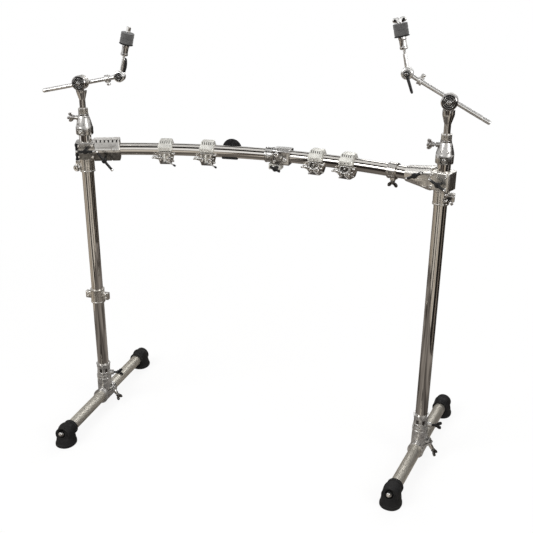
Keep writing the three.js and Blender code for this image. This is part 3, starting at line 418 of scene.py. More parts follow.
# Each mirror finish: name, slot, light and dark tone, roughness, and the scale of its grain along X, Y and Z
MIRROR_FINISHES = (
    ("tube_chrome", "tube", (0.70, 0.68, 0.65), (0.57, 0.545, 0.515), 0.015, (1, 1, 0.03)),
    ("bar_chrome", "tube", (0.80, 0.775, 0.735), (0.66, 0.63, 0.585), 0.015, (0.03, 1, 1)),
    ("fitting_chrome", "hardware", (0.84, 0.83, 0.81), (0.64, 0.63, 0.61), 0.03, (1, 1, 1)),
    ("smoked_chrome", "hardware", (0.22, 0.212, 0.205), (0.06, 0.056, 0.053), 0.08, (1, 1, 0.1)),
    ("satin_chrome", "hardware", (0.86, 0.85, 0.83), (0.72, 0.71, 0.69), 0.2, (1, 1, 1)),
    ("aged_chrome", "hardware", (0.68, 0.66, 0.64), (0.20, 0.19, 0.185), 0.05, (1, 1, 1)),
)
tube_chrome, bar_chrome, fitting_chrome, smoked_chrome, satin_chrome, aged_chrome = (
    mirror_chrome(*entry) for entry in MIRROR_FINISHES
)
clamp_cast = cast_metal("clamp_casting", (0.80, 0.78, 0.74), (0.50, 0.48, 0.45), 0.09)
grip_cast = cast_metal("grip_casting", (0.86, 0.84, 0.80), (0.70, 0.68, 0.64), 0.22, 0.12)
base_cast = cast_metal("base_casting", (0.96, 0.945, 0.92), (0.15, 0.145, 0.14), 0.1, 0.4, 105, 0.86)
jaw_cast = cast_metal("jaw_casting", (0.90, 0.89, 0.86), (0.24, 0.235, 0.23), 0.04, 0.45, 120)
adapter_cast = cast_metal("adapter_casting", (0.68, 0.665, 0.64), (0.24, 0.23, 0.22), 0.10, 0.3, 60)
sleeve_cast = sleeve_casting()
saddle_cast = satin_casting()
foot_satin = satin_tube()
black_handle = black_coat()
rubber = boot_rubber()
felt = wool_felt()
badge_gloss = gloss_plastic("badge_plastic", "badge", (0.010, 0.010, 0.011), (0.05, 0.052, 0.055), 0.16)
washer_plastic = gloss_plastic("washer_nylon", "black_metal", (0.006, 0.006, 0.006), (0.022, 0.021, 0.02), 0.24)


# ---------------------------------------------------------------- shapes
def mesh_from(form):
    mesh = bpy.data.meshes.new("form")
    form.to_mesh(mesh)
    form.free()
    return mesh


def moved(mesh, place):
    mesh.transform(place)
    return mesh


def skin(rings, closed=False):
    """A skin over rings of points, where a ring of one point is a pole. A closed one joins last and first."""
    form = bmesh.new()
    rows = [[form.verts.new(point) for point in ring] for ring in rings]
    pairs = list(zip(rows, rows[1:]))
    if closed:
        pairs.append((rows[-1], rows[0]))
    for under, over in pairs:
        count = max(len(under), len(over))
        for i in range(count):
            j = (i + 1) % count
            if len(under) == 1:
                form.faces.new((under[0], over[j], over[i]))
            elif len(over) == 1:
                form.faces.new((under[i], under[j], over[0]))
            else:
                form.faces.new((under[i], under[j], over[j], over[i]))
    if not closed:
        for row in (rows[0], rows[-1]):
            if len(row) > 1:
                form.faces.new(row)
    bmesh.ops.recalc_face_normals(form, faces=form.faces)
    return mesh_from(form)


def eased(points, ease, closed=False, steps=4):
    """An outline with its corners rounded. ease is the length that an edge gives up at a corner."""
    result = []
    last = len(points) - 1
    for i, here in enumerate(points):
        if not closed and i in (0, last):
            result.append(here)
            continue
        back = points[i - 1] - here
        ahead = points[(i + 1) % len(points)] - here
        room = min(ease, back.length * 0.45, ahead.length * 0.45)
        start = here + back.normalized() * room
        end = here + ahead.normalized() * room
        for step in range(steps + 1):
            share = step / steps
            result.append(start.lerp(here, share).lerp(here.lerp(end, share), share))
    return result


def circle(radius, height, sides):
    if radius < POLE:
        return [Vector((0, 0, height))]
    angles = [2 * math.pi * i / sides for i in range(sides)]
    return [Vector((radius * math.cos(angle), radius * math.sin(angle), height)) for angle in angles]


def turned(profile, sides=FINE, ease=0.6, closed=False):
    """A turned piece round Z from pairs of radius and height."""
    outline = eased([Vector(pair) for pair in profile], ease, closed)
    return skin([circle(point.x, point.y, sides) for point in outline], closed)


def rod(start, end, radius, end_radius=None, ease=0.5, sides=MEDIUM):
    way = Vector(end) - Vector(start)
    last = radius if end_radius is None else end_radius
    form = turned([(0, 0), (radius, 0), (last, way.length), (0, way.length)], sides, ease)
    return moved(form, at(start, way))


def peg(start, end, radius, ease):
    """A small rod with few sides."""
    return rod(start, end, radius, ease=ease, sides=SMALL)


def tube_hole(start, end):
    return rod(start, end, TUBE_BORE, sides=FINE)


def bolt_hole(start, end):
    return rod(start, end, SHANK_RADIUS + BOLT_GAP)


def hoop(inner, outer, low_end, high_end, ease=0.5, sides=FINE):
    """A round band about Z."""
    return turned([(inner, low_end), (outer, low_end), (outer, high_end), (inner, high_end)], sides, ease, True)


def pipe(length):
    return hoop(TUBE_RADIUS - TUBE_WALL, TUBE_RADIUS, 0, length)


def threaded(radius, start, end, pitch=1.25, depth=0.55):
    """Pairs for a turned thread, as rings rather than a helix."""
    pairs = []
    count = int((end - start) / pitch)
    for i in range(count):
        pairs += [(radius - depth, start + i * pitch), (radius, start + (i + 0.5) * pitch)]
    return pairs + [(radius - depth, start + count * pitch)]


def round_ring(half_x, half_y, corner, height, middle=(0, 0), steps=5):
    points = []
    for quarter, (x_way, y_way) in enumerate(((1, 1), (-1, 1), (-1, -1), (1, -1))):
        for step in range(steps + 1):
            angle = math.radians(90 * quarter + 90 * step / steps)
            x = middle[0] + x_way * (half_x - corner) + corner * math.cos(angle)
            y = middle[1] + y_way * (half_y - corner) + corner * math.sin(angle)
            points.append(Vector((x, y, height)))
    return points


def stacked(sections, rim=1.2, steps=3):
    """A block with rounded sides and rims. Each section: half x, half y, corner, height, middle x, middle y."""

    def section(entry, inset, rise):
        half_x, half_y, corner, height, x, y = entry
        return round_ring(half_x - inset, half_y - inset, max(corner - inset, 0.4), height + rise, (x, y))

    arc = [math.radians(90 * step / steps) for step in range(steps + 1)]
    bends = [(rim * (1 - math.sin(angle)), rim * (1 - math.cos(angle))) for angle in arc]
    rings = [section(sections[0], inset, rise) for inset, rise in bends]
    rings += [section(entry, 0, 0) for entry in sections[1:-1]]
    rings += [section(sections[-1], inset, -rise) for inset, rise in reversed(bends)]
    return skin(rings)


def slab(low_corner, high_corner, corner=1.5, rim=0.8):
    low_corner, high_corner = Vector(low_corner), Vector(high_corner)
    half = (high_corner - low_corner) / 2
    middle = (high_corner + low_corner) / 2
    ends = [(half.x, half.y, corner, height, 0, 0) for height in (-half.z, half.z)]
    return moved(stacked(ends, rim), Matrix.Translation(middle))


def plate(outline, thickness, round_off=1.2, ease=2.0):
    """A flat piece standing in the XZ plane, with rounded edges."""
    path = eased([Vector(point) for point in outline], ease, True, 3)
    rings = [[Vector((x, y, z)) for x, z in path] for y in (-thickness / 2, thickness / 2)]
    body = held(skin(rings))
    bevel = body.modifiers.new("round_off", "BEVEL")
    bevel.width = round_off
    bevel.segments = 3
    bevel.limit_method = "ANGLE"
    bevel.angle_limit = math.radians(50)
    return baked(body)


def held(mesh):
    body = bpy.data.objects.new("form", mesh)
    bpy.context.scene.collection.objects.link(body)
    return body


def baked(body, helpers=()):
    """The mesh of an object with its modifiers applied. The object and its helpers go."""
    depsgraph = bpy.context.evaluated_depsgraph_get()
    mesh = bpy.data.meshes.new_from_object(body.evaluated_get(depsgraph))
    for spent in (body, *helpers):
        bpy.data.objects.remove(spent)
    return mesh


def combined(first, others, operation):
    body = held(first)
    tools = [held(other) for other in others]
    for tool in tools:
        step = body.modifiers.new("step", "BOOLEAN")
        step.operation = operation
        step.solver = "MANIFOLD"
        step.object = tool
    return baked(body, tools)


def fused(first, *others):
    return combined(first, others, "UNION")


def cut(first, *tools):
    return combined(first, tools, "DIFFERENCE")


def bar_curve(angles):
    """A rod of the clamps' bore that follows the bar's bend about the origin, through angles from +Y."""
    rings = []
    for angle in angles:
        out = Vector((math.sin(angle), math.cos(angle), 0))
        ring = []
        for i in range(MEDIUM):
            around = 2 * math.pi * i / MEDIUM
            point = out * (BAR_BEND_RADIUS + CLAMP_BORE * math.cos(around))
            point.z = CLAMP_BORE * math.sin(around)
            ring.append(point)
        rings.append(ring)
    return skin(rings)


def bent_bore(length, steps=12):
    """The bar's own curve, for a hole in a clamp that stands on the bar."""
    half = length / 2 + 5
    angles = [(2 * half * step / steps - half) / BAR_BEND_RADIUS for step in range(steps + 1)]
    return moved(bar_curve(angles), shift(0, -BAR_BEND_RADIUS, 0))


def show(name, mesh, place, finish, body, *nodes, sharp=34):
    """Puts a shape in millimetres in its place as a finished piece that rides on a body."""
    mesh.transform(Matrix.Scale(MM, 4) @ place)
    mesh.name = name
    mesh.shade_smooth()
    mesh.set_sharp_from_angle(angle=math.radians(sharp))
    mesh.materials.clear()
    mesh.materials.append(finish.material)
    piece = bpy.data.objects.new(name, mesh)
    bpy.context.scene.collection.objects.link(piece)
    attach(piece, body)
    if nodes:
        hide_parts(*nodes)


# ---------------------------------------------------------------- repeated things, as Geometry Nodes
def new_tree(name, inputs):
    tree = bpy.data.node_groups.new(name, "GeometryNodeTree")
    for label, kind in inputs.items():
        tree.interface.new_socket(name=label, in_out="INPUT", socket_type="NodeSocket" + kind)
    tree.interface.new_socket(name="Geometry", in_out="OUTPUT", socket_type="NodeSocketGeometry")
    nodes = Nodes(tree)
    return tree, nodes, nodes.add("NodeGroupInput").outputs


def end_tree(nodes, geometry, material):
    real = nodes.add("GeometryNodeRealizeInstances", None, {0: geometry})
    painted = nodes.add("GeometryNodeSetMaterial", None, {"Geometry": real.outputs[0], "Material": material})
    nodes.add("NodeGroupOutput", None, {0: painted.outputs[0]})


def ridge_ring_tree():
    """Upright round ridges in a ring about Z, for knurls, flutes and teeth."""
    inputs = {
        "Count": "Int",
        "Ring Radius": "Float",
        "Ridge Radius": "Float",
        "Ridge Length": "Float",
        "Ridge Sides": "Int",
        "Material": "Material",
    }
    tree, nodes, given = new_tree("ridge_ring", inputs)
    round_sizes = {"Vertices": given["Count"], "Radius": given["Ring Radius"]}
    ring = nodes.add("GeometryNodeMeshCircle", None, round_sizes)
    sizes = {
        "Vertices": given["Ridge Sides"],
        "Radius": given["Ridge Radius"],
        "Depth": given["Ridge Length"],
    }
    ridge = nodes.add("GeometryNodeMeshCylinder", None, sizes)
    places = {"Points": ring.outputs[0], "Instance": ridge.outputs["Mesh"]}
    spread = nodes.add("GeometryNodeInstanceOnPoints", None, places)
    end_tree(nodes, spread.outputs[0], given["Material"])
    return tree


def block_row_tree():
    """Equal blocks in a row centred on the origin, along X, for notches and slots."""
    inputs = {"Count": "Int", "Spacing": "Float", "Size": "Vector", "Material": "Material"}
    tree, nodes, given = new_tree("block_row", inputs)
    step = nodes.add("ShaderNodeCombineXYZ", None, {"X": given["Spacing"]})
    half = (Number(nodes, given["Count"]) - 1.0) * -0.5
    start = nodes.add("ShaderNodeVectorMath", {"operation": "SCALE"}, {0: step.outputs[0], "Scale": half})
    places = {"Count": given["Count"], "Start Location": start.outputs[0], "Offset": step.outputs[0]}
    line = nodes.add("GeometryNodeMeshLine", None, places)
    cube = nodes.add("GeometryNodeMeshCube", None, {"Size": given["Size"]})
    blocks = {"Points": line.outputs[0], "Instance": cube.outputs["Mesh"]}
    spread = nodes.add("GeometryNodeInstanceOnPoints", None, blocks)
    end_tree(nodes, spread.outputs[0], given["Material"])
    return tree


def screw_tree():
    """A screw on each point of a mesh, standing along the point's way attribute."""
    inputs = {"Points": "Geometry", "Screw": "Object", "Scale": "Float", "Material": "Material"}
    tree, nodes, given = new_tree("screws_on_points", inputs)
    screw = nodes.add("GeometryNodeObjectInfo", None, {"Object": given["Screw"]})
    way = nodes.add("GeometryNodeInputNamedAttribute", {"data_type": "FLOAT_VECTOR"}, {"Name": "way"})
    aim = nodes.add("FunctionNodeAlignRotationToVector", {"axis": "Z"}, {"Vector": way.outputs["Attribute"]})
    places = {
        "Points": given["Points"],
        "Instance": screw.outputs["Geometry"],
        "Rotation": aim.outputs[0],
        "Scale": given["Scale"],
    }
    spread = nodes.add("GeometryNodeInstanceOnPoints", None, places)
    end_tree(nodes, spread.outputs[0], given["Material"])
    return tree


def bent_tube_tree():
    """A tube bent to an arc about the origin, symmetrical about +Y."""
    inputs = {
        "Bend Radius": "Float",
        "Half Angle": "Float",
        "Tube Radius": "Float",
        "Bore Radius": "Float",
        "Material": "Material",
    }
    tree, nodes, given = new_tree("bent_tube", inputs)

    def arc_with(extra, radius):
        half = Number(nodes, given["Half Angle"]) + extra
        sizes = {
            "Resolution": BEND_POINTS,
            "Radius": given["Bend Radius"],
            "Start Angle": math.pi / 2 - half,
            "Sweep Angle": half * 2.0,
        }
        arc = nodes.add("GeometryNodeCurveArc", None, sizes)
        section = nodes.add("GeometryNodeCurvePrimitiveCircle", None, {"Resolution": FINE, "Radius": radius})
        parts = {"Curve": arc.outputs[0], "Profile Curve": section.outputs[0], "Fill Caps": True}
        return nodes.add("GeometryNodeCurveToMesh", None, parts).outputs[0]

    outer = arc_with(0.0, given["Tube Radius"])
    bore = arc_with(0.005, given["Bore Radius"])
    tubes = {"Mesh 1": outer, "Mesh 2": bore}
    hollow = nodes.add("GeometryNodeMeshBoolean", {"operation": "DIFFERENCE"}, tubes)
    end_tree(nodes, hollow.outputs[0], given["Material"])
    return tree


def grown(tree, inputs, mesh=None):
    """The plain mesh that a tree makes."""
    holder = held(mesh or bpy.data.meshes.new("holder"))
    grow = holder.modifiers.new("grow", "NODES")
    grow.node_group = tree
    for item in tree.interface.items_tree:
        if item.in_out == "INPUT" and item.name in inputs:
            grow[item.identifier] = inputs[item.name]
    return baked(holder)


ridge_ring = ridge_ring_tree()
block_row = block_row_tree()
screws_on_points = screw_tree()
bent_tube = bent_tube_tree()


def ridges(count, ring_radius, ridge_radius, length):
    inputs = {
        "Count": count,
        "Ring Radius": float(ring_radius),
        "Ridge Radius": float(ridge_radius),
        "Ridge Length": float(length),
        "Ridge Sides": 10,
        "Material": fitting_chrome.material,
    }
    return grown(ridge_ring, inputs)


def fluted(form, count, ring_radius, ridge_radius, length, level):
    """A form with round flutes cut round Z, centred on a level."""
    return cut(form, moved(ridges(count, ring_radius, ridge_radius, length), shift(0, 0, level)))


def notches(count, spacing, size, finish):
    inputs = {"Count": count, "Spacing": float(spacing), "Size": size, "Material": finish.material}
    return grown(block_row, inputs)


def socket_screw():
    """A cap screw of 5 mm head radius with a hex socket, standing on z = 0."""
    head = turned([(0, -2), (5, -2), (5, 4.4), (4.2, 5), (0, 5)], SMALL, 0.4)
    hex_hole = turned([(0, 2), (2.6, 2), (2.6, 7), (0, 7)], 6, 0.01)
    return cut(head, hex_hole)


screw_pattern = held(socket_screw())
screw_pattern.name = "screw_pattern"


def screws(name, spots, place, finish, body, scale=0.6):
    """Cap screws at points, each with the way that it faces."""
    points = bpy.data.meshes.new("points")
    points.from_pydata([spot for spot, _ in spots], [], [])
    ways = points.attributes.new("way", "FLOAT_VECTOR", "POINT")
    ways.data.foreach_set("vector", [part for _, way in spots for part in way])
    inputs = {"Screw": screw_pattern, "Scale": scale, "Material": finish.material}
    show(name, grown(screws_on_points, inputs, points), place, finish, body)


# ---------------------------------------------------------------- camera
def place_camera():
    """The photograph's own viewpoint, found from the uprights, the bar and the feet."""
    right = Vector((0.957752, 0.287545, 0.005496))
    down = Vector((0.114892, -0.365025, -0.923881))
    ahead = Vector((-0.263651, 0.885480, -0.382639))
    data = bpy.data.cameras.new("viewpoint")
    data.sensor_width = SENSOR_WIDTH
    data.lens = FOCAL_PIXELS / PHOTO_WIDTH * SENSOR_WIDTH
    data.clip_end = CLIP_END
    camera = bpy.data.objects.new("viewpoint", data)
    bpy.context.scene.collection.objects.link(camera)
    turned_to = Matrix((right, -down, -ahead)).transposed().to_4x4()
    camera.matrix_world = Matrix.Translation(Vector((726.8675, -2272.139, 1577.518)) * MM) @ turned_to
    bpy.context.scene.camera = camera


place_camera()


# ---------------------------------------------------------------- tubes
def add_tubes():
    for side, label in SIDES:
        place = rack @ shift(side * HALF_SPACING, 0, UPRIGHT_FOOT)
        name = label + "_upright"
        show(name + "_tube", pipe(UPRIGHT_LENGTH), place, tube_chrome, name, name)
    inputs = {
        "Bend Radius": float(BAR_BEND_RADIUS),
        "Half Angle": math.radians(BAR_END_ANGLE),
        "Tube Radius": TUBE_RADIUS,
        "Bore Radius": TUBE_RADIUS - TUBE_WALL,
        "Material": bar_chrome.material,
    }
    place = rack @ shift(0, BEND_CENTRE_Y, BAR_HEIGHT)
    show("curved_bar_tube", grown(bent_tube, inputs), place, bar_chrome, "frame", "curved_bar")


add_tubes()


# ---------------------------------------------------------------- feet
# The boot's bell: height, width and length, each as a share of the whole
BELL_ROWS = (
    (0, 0.985, 0.985),
    (0.02, 1, 1),
    (0.1, 1, 1),
    (0.135, 0.985, 0.985),
    (0.15, 0.95, 0.955),
    (0.2, 0.93, 0.93),
    (0.3, 0.91, 0.895),
    (0.4, 0.89, 0.85),
    (0.5, 0.86, 0.8),
    (0.6, 0.835, 0.76),
    (0.7, 0.80, 0.705),
    (0.8, 0.755, 0.645),
    (0.87, 0.69, 0.58),
    (0.93, 0.6, 0.5),
    (0.965, 0.5, 0.42),
    (0.99, 0.36, 0.3),
    (1, 0.2, 0.16),
)


def boot_bell(way, middle):
    def squared(share):
        return math.copysign(abs(share) ** 0.92, share)

    rings = []
    for rise, width, length in BELL_ROWS:
        lean = way * (middle - SOLE_LENGTH / 2 * (1 - length) * 0.35)
        ring = []
        for i in range(FINE):
            angle = 2 * math.pi * i / FINE
            x = SOLE_WIDTH / 2 * width * squared(math.cos(angle))
            y = lean + SOLE_LENGTH / 2 * length * squared(math.sin(angle))
            ring.append(Vector((x, y, BOOT_HEIGHT * rise)))
        rings.append(ring)
    return skin(rings)


def boot(way):
    """A rubber boot: a bell that leans over the tube, a ribbed neck, and a dished nose for the spike knob."""
    bell_middle = BOOT_TIP - 37
    neck_radius = TUBE_BORE + BOOT_WALL
    neck_end = BOOT_OVERLAP + bell_middle + 20
    ribs = [(0, 0), (neck_radius - 0.6, 0), (neck_radius, 1.2), (neck_radius, 6)]
    for i in range(3):
        level = 7 + i * 6
        ribs += [(neck_radius - 1.3, level), (neck_radius - 1.3, level + 3)]
        ribs += [(neck_radius, level + 4), (neck_radius, level + 5.5)]
    ribs += [(neck_radius, neck_end), (0, neck_end)]
    neck = moved(turned(ribs, FINE, 0.5), at((0, -way * BOOT_OVERLAP, FOOT_AXIS), (0, way, 0)))
    bore = tube_hole((0, -way * (BOOT_OVERLAP + 5), FOOT_AXIS), (0, way * SEAT_GAP, FOOT_AXIS))
    nose = nose_place(way)
    dish = moved(turned([(0, -4.5), (11, -4.5), (14, 0), (17.5, 8), (0, 8)], MEDIUM, 0.8), nose)
    lip = moved(hoop(13.4, 16.6, -4, 1.3, 1.2, MEDIUM), nose)
    return fused(cut(fused(boot_bell(way, bell_middle), neck), dish, bore), cut(lip, bore.copy()))


def nose_place(way):
    """Where the spike knob stands on the boot's nose, square to the slope."""
    return at((0, way * 8.5, 46.5), (0, way * 0.9, 0.43))


def spike_knob():
    profile = [(0, -7), (3, -7), (3, -3), (9.6, -3), (10, 1), (8.8, 5), (6.4, 10.5), (4, 13), (0, 13)]
    return fluted(turned(profile, MEDIUM, 0.8), 14, 10.6, 1.1, 10, -1)


def wing_outline(half, height):
    """The two ears of a wing bolt or nut as an outline in the XZ plane."""
    right_side = [
        (half * 0.3, height - 1),
        (half * 0.72, height + WING_RISE * 0.1),
        (half, height + WING_RISE * 0.45),
        (half, height + WING_RISE * 0.85),
        (half * 0.78, height + WING_RISE),
        (half * 0.46, height + WING_RISE * 0.92),
        (half * 0.2, height + WING_RISE * 0.5),
    ]
    return right_side + [(-x, z) for x, z in reversed(right_side)]


def wings(half, height, thickness=WING_THICKNESS):
    """Two ears, each with a thumb hollow on both faces."""
    hollows = []
    for side in (-1, 1):
        for way in (-1, 1):
            middle = (side * half * 0.66, way * thickness / 2, height + WING_RISE * 0.58)
            hollow = turned([(0, -1.1), (2.2, -1.1), (4.2, 3), (0, 3)], SMALL, 0.5)
            hollows.append(moved(hollow, at(middle, (0, way, 0))))
    return cut(plate(wing_outline(half, height), thickness, 1.4, 3.0), *hollows)


def wing_bolt(shank_length, span=WING_SPAN, thickness=WING_THICKNESS):
    """A bolt that starts at the origin and runs along +Z to a waisted hub with two wings."""
    top = shank_length + WING_HUB
    thread_end = max(shank_length - 4, 4)
    shaft = [(0, 0), (3, 0)] + threaded(SHANK_RADIUS, 0.4, thread_end)
    shaft += [(SHANK_RADIUS, thread_end + 0.4), (SHANK_RADIUS, shank_length)]
    shaft += [(6.4, shank_length), (7, shank_length + 1.2), (7, shank_length + 3.2), (5.9, shank_length + 4.6)]
    shaft += [(5.6, top - 1), (4.6, top + 0.6), (0, top + 0.6)]
    return fused(turned(shaft, SMALL, 0.35), wings(span / 2, shank_length + WING_HUB / 2, thickness))


def foot_casting(side):
    """Saddle, ribbed socket, flared neck, bolt lug and bolt boss, in one casting."""
    socket = [(0, FOOT_AXIS), (SOCKET_RADIUS, FOOT_AXIS), (SOCKET_RADIUS, 84)]
    for level in (98.5, 104.5):
        socket += [(SOCKET_RADIUS - 1.1, level), (SOCKET_RADIUS - 1.1, level + 1.6)]
        socket += [(SOCKET_RADIUS, level + 2.8), (SOCKET_RADIUS, level + 4.6)]
    socket += [(SOCKET_RADIUS, 112), (SOCKET_RADIUS - 0.8, SOCKET_TOP - 1.5)]
    socket += [(NECK_RADIUS - 1.5, SOCKET_TOP - 1.5), (NECK_RADIUS - 1.5, SOCKET_TOP)]
    socket += [(NECK_RADIUS, SOCKET_TOP), (NECK_RADIUS, SOCKET_TOP + 9)]
    socket += [(NECK_RADIUS - 0.8, SOCKET_TOP + 10), (NECK_RADIUS - 0.8, SOCKET_TOP + 26)]
    socket += [(NECK_RADIUS, SOCKET_TOP + 27), (NECK_RADIUS, NECK_TOP - 6)]
    socket += [(NECK_RADIUS + 1.5, NECK_TOP - 2), (NECK_RADIUS + 1.5, NECK_TOP), (0, NECK_TOP)]
    half = SADDLE_LENGTH / 2
    saddle_profile = [(0, 0), (SADDLE_RADIUS, 0), (SADDLE_RADIUS, 6), (SADDLE_RADIUS - 1, 7.5)]
    saddle_profile += [(SADDLE_RADIUS - 1, SADDLE_LENGTH - 7.5), (SADDLE_RADIUS, SADDLE_LENGTH - 6)]
    saddle_profile += [(SADDLE_RADIUS, SADDLE_LENGTH), (0, SADDLE_LENGTH)]
    saddle = moved(turned(saddle_profile, FINE, 0.8), at((0, -half, FOOT_AXIS), (0, 1, 0)))
    lean = shift(0, 0, FOOT_AXIS) @ turn(-LUG_ANGLE, "Y")
    lug_half, lug_rise = LUG_WIDTH / 2, LUG_THICKNESS / 2
    lug = moved(slab((0, -lug_half, -lug_rise), (LUG_REACH, lug_half, lug_rise), 3, 1.5), lean)
    slit = moved(slab((0, -20, -CLAMP_SLIT / 2), (LUG_REACH + 5, 20, CLAMP_SLIT / 2), 0.5, 0.2), lean)
    bolt_at, bolt_way = lug_bolt_point(), lug_bolt_way()
    tools = [
        tube_hole((0, 0, UPRIGHT_FOOT - SEAT_GAP), (0, 0, NECK_TOP + 5)),
        tube_hole((0, -half - 5, FOOT_AXIS), (0, half + 5, FOOT_AXIS)),
        slit,
        bolt_hole(bolt_at - bolt_way * 17, bolt_at + bolt_way * 17),
        bolt_hole(socket_bolt_point(0), socket_bolt_point(40)),
    ]
    tools += [moved(slab((-5, -4, -7), (5, 4, 7), 2.5, 1), place) for place in neck_windows(side)]
    boss = rod(socket_bolt_point(0), socket_bolt_point(34), 9, ease=1)
    return cut(fused(turned(socket, FINE, 0.7), saddle, lug, boss), *tools)


def neck_windows(side):
    """Where the two small windows of the neck stand, towards the player."""
    angles = (-88, -38) if side < 0 else (-102, -52)
    return [turn(angle) @ shift(NECK_RADIUS + 2.6, 0, SOCKET_TOP + 18) for angle in angles]


def lug_bolt_point():
    angle = math.radians(LUG_ANGLE)
    return Vector((LUG_BOLT_RADIUS * math.cos(angle), 0, FOOT_AXIS + LUG_BOLT_RADIUS * math.sin(angle)))


def lug_bolt_way():
    angle = math.radians(LUG_ANGLE)
    return Vector((math.sin(angle), 0, -math.cos(angle)))


def socket_bolt_point(distance):
    angle = math.radians(SOCKET_BOLT_TURN)
    return Vector((distance * math.cos(angle), distance * math.sin(angle), SOCKET_BOLT_HEIGHT))


def add_foot(side, label, turn_degrees, slide):
    base = rack @ shift(side * HALF_SPACING, 0, 0) @ turn(-turn_degrees)
    foot = label + "_foot"
    tube_place = base @ at((0, slide - FOOT_TUBE_LENGTH / 2, FOOT_AXIS), (0, 1, 0))
    show(foot + "_pipe", pipe(FOOT_TUBE_LENGTH), tube_place, foot_satin, foot, foot + "_tube")
    for way, end in ((-1, "front"), (1, "rear")):
        place = base @ shift(0, slide + way * FOOT_TUBE_LENGTH / 2, 0)
        name = f"{label}_{end}_boot"
        show(name + "_rubber", boot(way), place, rubber, foot, name)
        show(name + "_spike_knob", spike_knob(), place @ nose_place(way), satin_chrome, foot)
    casting = foot + "_casting"
    show(label + "_base_casting", foot_casting(side), base, base_cast, casting, casting)
    # Dark slabs fill the neck windows: painted shade inside them
    painted_shade_inlays = [moved(slab((-5.4, -4.6, -7.5), (-3.3, 4.6, 7.5), 1, 0.4), place) for place in neck_windows(side)]
    show(label + "_neck_inlays", fused(*painted_shade_inlays), base, smoked_chrome, casting)
    way = socket_bolt_point(1) - socket_bolt_point(0)
    place = base @ at(socket_bolt_point(TUBE_RADIUS + SEAT_GAP), way) @ turn(40)
    name = label + "_socket_bolt"
    bolt = wing_bolt(BOLT_HEAD_REACH - TUBE_RADIUS, WING_SPAN, FOOT_WING_THICKNESS)
    show(name + "_wings", bolt, place, black_handle, name, name)
    way = lug_bolt_way()
    place = base @ at(lug_bolt_point() - way * LUG_THICKNESS / 2, way) @ turn(90)
    name = label + "_saddle_bolt"
    bolt = wing_bolt(BOLT_HEAD_REACH - LUG_THICKNESS / 2, 28, FOOT_WING_THICKNESS)
    show(name + "_wings", bolt, place, smoked_chrome, name, name)
    barrel = turned([(0, 18.4), (5.4, 18.4), (6.4, 19.4), (6.4, 33.5), (5.4, 34.5), (0, 34.5)], MEDIUM, 0.6)
    show(name + "_barrel", barrel, place, fitting_chrome, name)
    lean = base @ shift(0, 0, FOOT_AXIS) @ turn(-LUG_ANGLE, "Y")
    spots = [((30, y, LUG_THICKNESS / 2), (0, 0, 1)) for y in (-7.5, 7.5)]
    spots += [((12, -LUG_WIDTH / 2, -2.5), (0, -1, 0))]
    screws(label + "_saddle_rivets", spots, lean, fitting_chrome, casting, 0.5)


add_foot(-1, "left", 1.5, 3)
add_foot(1, "right", 10, 5)


# ---------------------------------------------------------------- collars
def collar_form(outer, height):
    """A solid collar with a raised band at each end."""
    profile = [(0, 0), (outer, 0), (outer, 4), (outer - 0.9, 5), (outer - 0.9, height - 5)]
    return turned(profile + [(outer, height - 4), (outer, height), (0, height)], FINE, 0.7)


def split_collar(height, reach, lug_sides):
    """A collar with a bolted lug on each side that is given, slit on the first of them."""
    collar = collar_form(TUBE_BORE + COLLAR_WALL, height)
    deep = COLLAR_LUG_HALF_DEPTH
    for side in lug_sides:
        low_x, high_x = sorted((0, side * reach))
        collar = fused(collar, slab((low_x, -deep, height / 2 - 12), (high_x, deep, height / 2 + 12), 3, 1.2))
    low_x, high_x = sorted((0, lug_sides[0] * (reach + 5)))
    slit = slab((low_x, -CLAMP_SLIT / 2, -5), (high_x, CLAMP_SLIT / 2, height + 5), 0.4, 0.2)
    return cut(collar, tube_hole((0, 0, -5), (0, 0, height + 5)), slit)


def add_stop_collar(side, label):
    name = label + "_stop_collar"
    top = BAR_HEIGHT - BLOCK_HEIGHT / 2 - SEAT_GAP
    place = rack @ shift(side * HALF_SPACING, 0, top - STOP_COLLAR_HEIGHT)
    show(name + "_ring", split_collar(STOP_COLLAR_HEIGHT, 38, [side]), place, clamp_cast, name, name)
    if side < 0:
        profile = [(0, -2), (4, -2), (4, 6), (10.4, 6.6), (11.6, 9), (11.6, 14), (10, 16.5), (5, 17), (0, 16)]
        knob = fluted(turned(profile, FINE, 1), 18, 12.2, 1.2, 16, 11)
        knob_place = place @ at((-27, -COLLAR_LUG_HALF_DEPTH, 13), TO_PLAYER)
        show(name + "_knob", knob, knob_place, fitting_chrome, name)
    else:
        wing_place = place @ at((24, -COLLAR_LUG_HALF_DEPTH, 24), TO_PLAYER)
        star = fused(moved(wing_bolt(6, 38), turn(35)), moved(wings(19, 11, 7), turn(125)))
        show(name + "_wing", star, wing_place, aged_chrome, name)
        cap = turned([(0, 0), (6.4, 0), (6.4, 2), (4.6, 3.4), (0, 3.4)], MEDIUM, 0.6)
        show(name + "_wing_cap", cap, wing_place @ shift(0, 0, 16.2), washer_plastic, name)
    spots = [((side * 31, COLLAR_LUG_HALF_DEPTH, STOP_COLLAR_HEIGHT / 2), (0, 1, 0))]
    screws(name + "_nut", spots, place, fitting_chrome, name, 0.9)


def add_height_collar():
    name = "left_height_collar"
    place = rack @ shift(-HALF_SPACING, 0, HEIGHT_COLLAR_LEVEL)
    show(name + "_ring", split_collar(HEIGHT_COLLAR_HEIGHT, 42, [-1, 1]), place, clamp_cast, name, name)
    spots = [
        ((side * 33, way * COLLAR_LUG_HALF_DEPTH, HEIGHT_COLLAR_HEIGHT / 2 + rise), (0, way, 0))
        for side in (-1, 1)
        for rise in (-6, 6)
        for way in (-1, 1)
    ]
    screws(name + "_screws", spots, place, fitting_chrome, name, 0.75)


for collar_side, collar_label in SIDES:
    add_stop_collar(collar_side, collar_label)
add_height_collar()


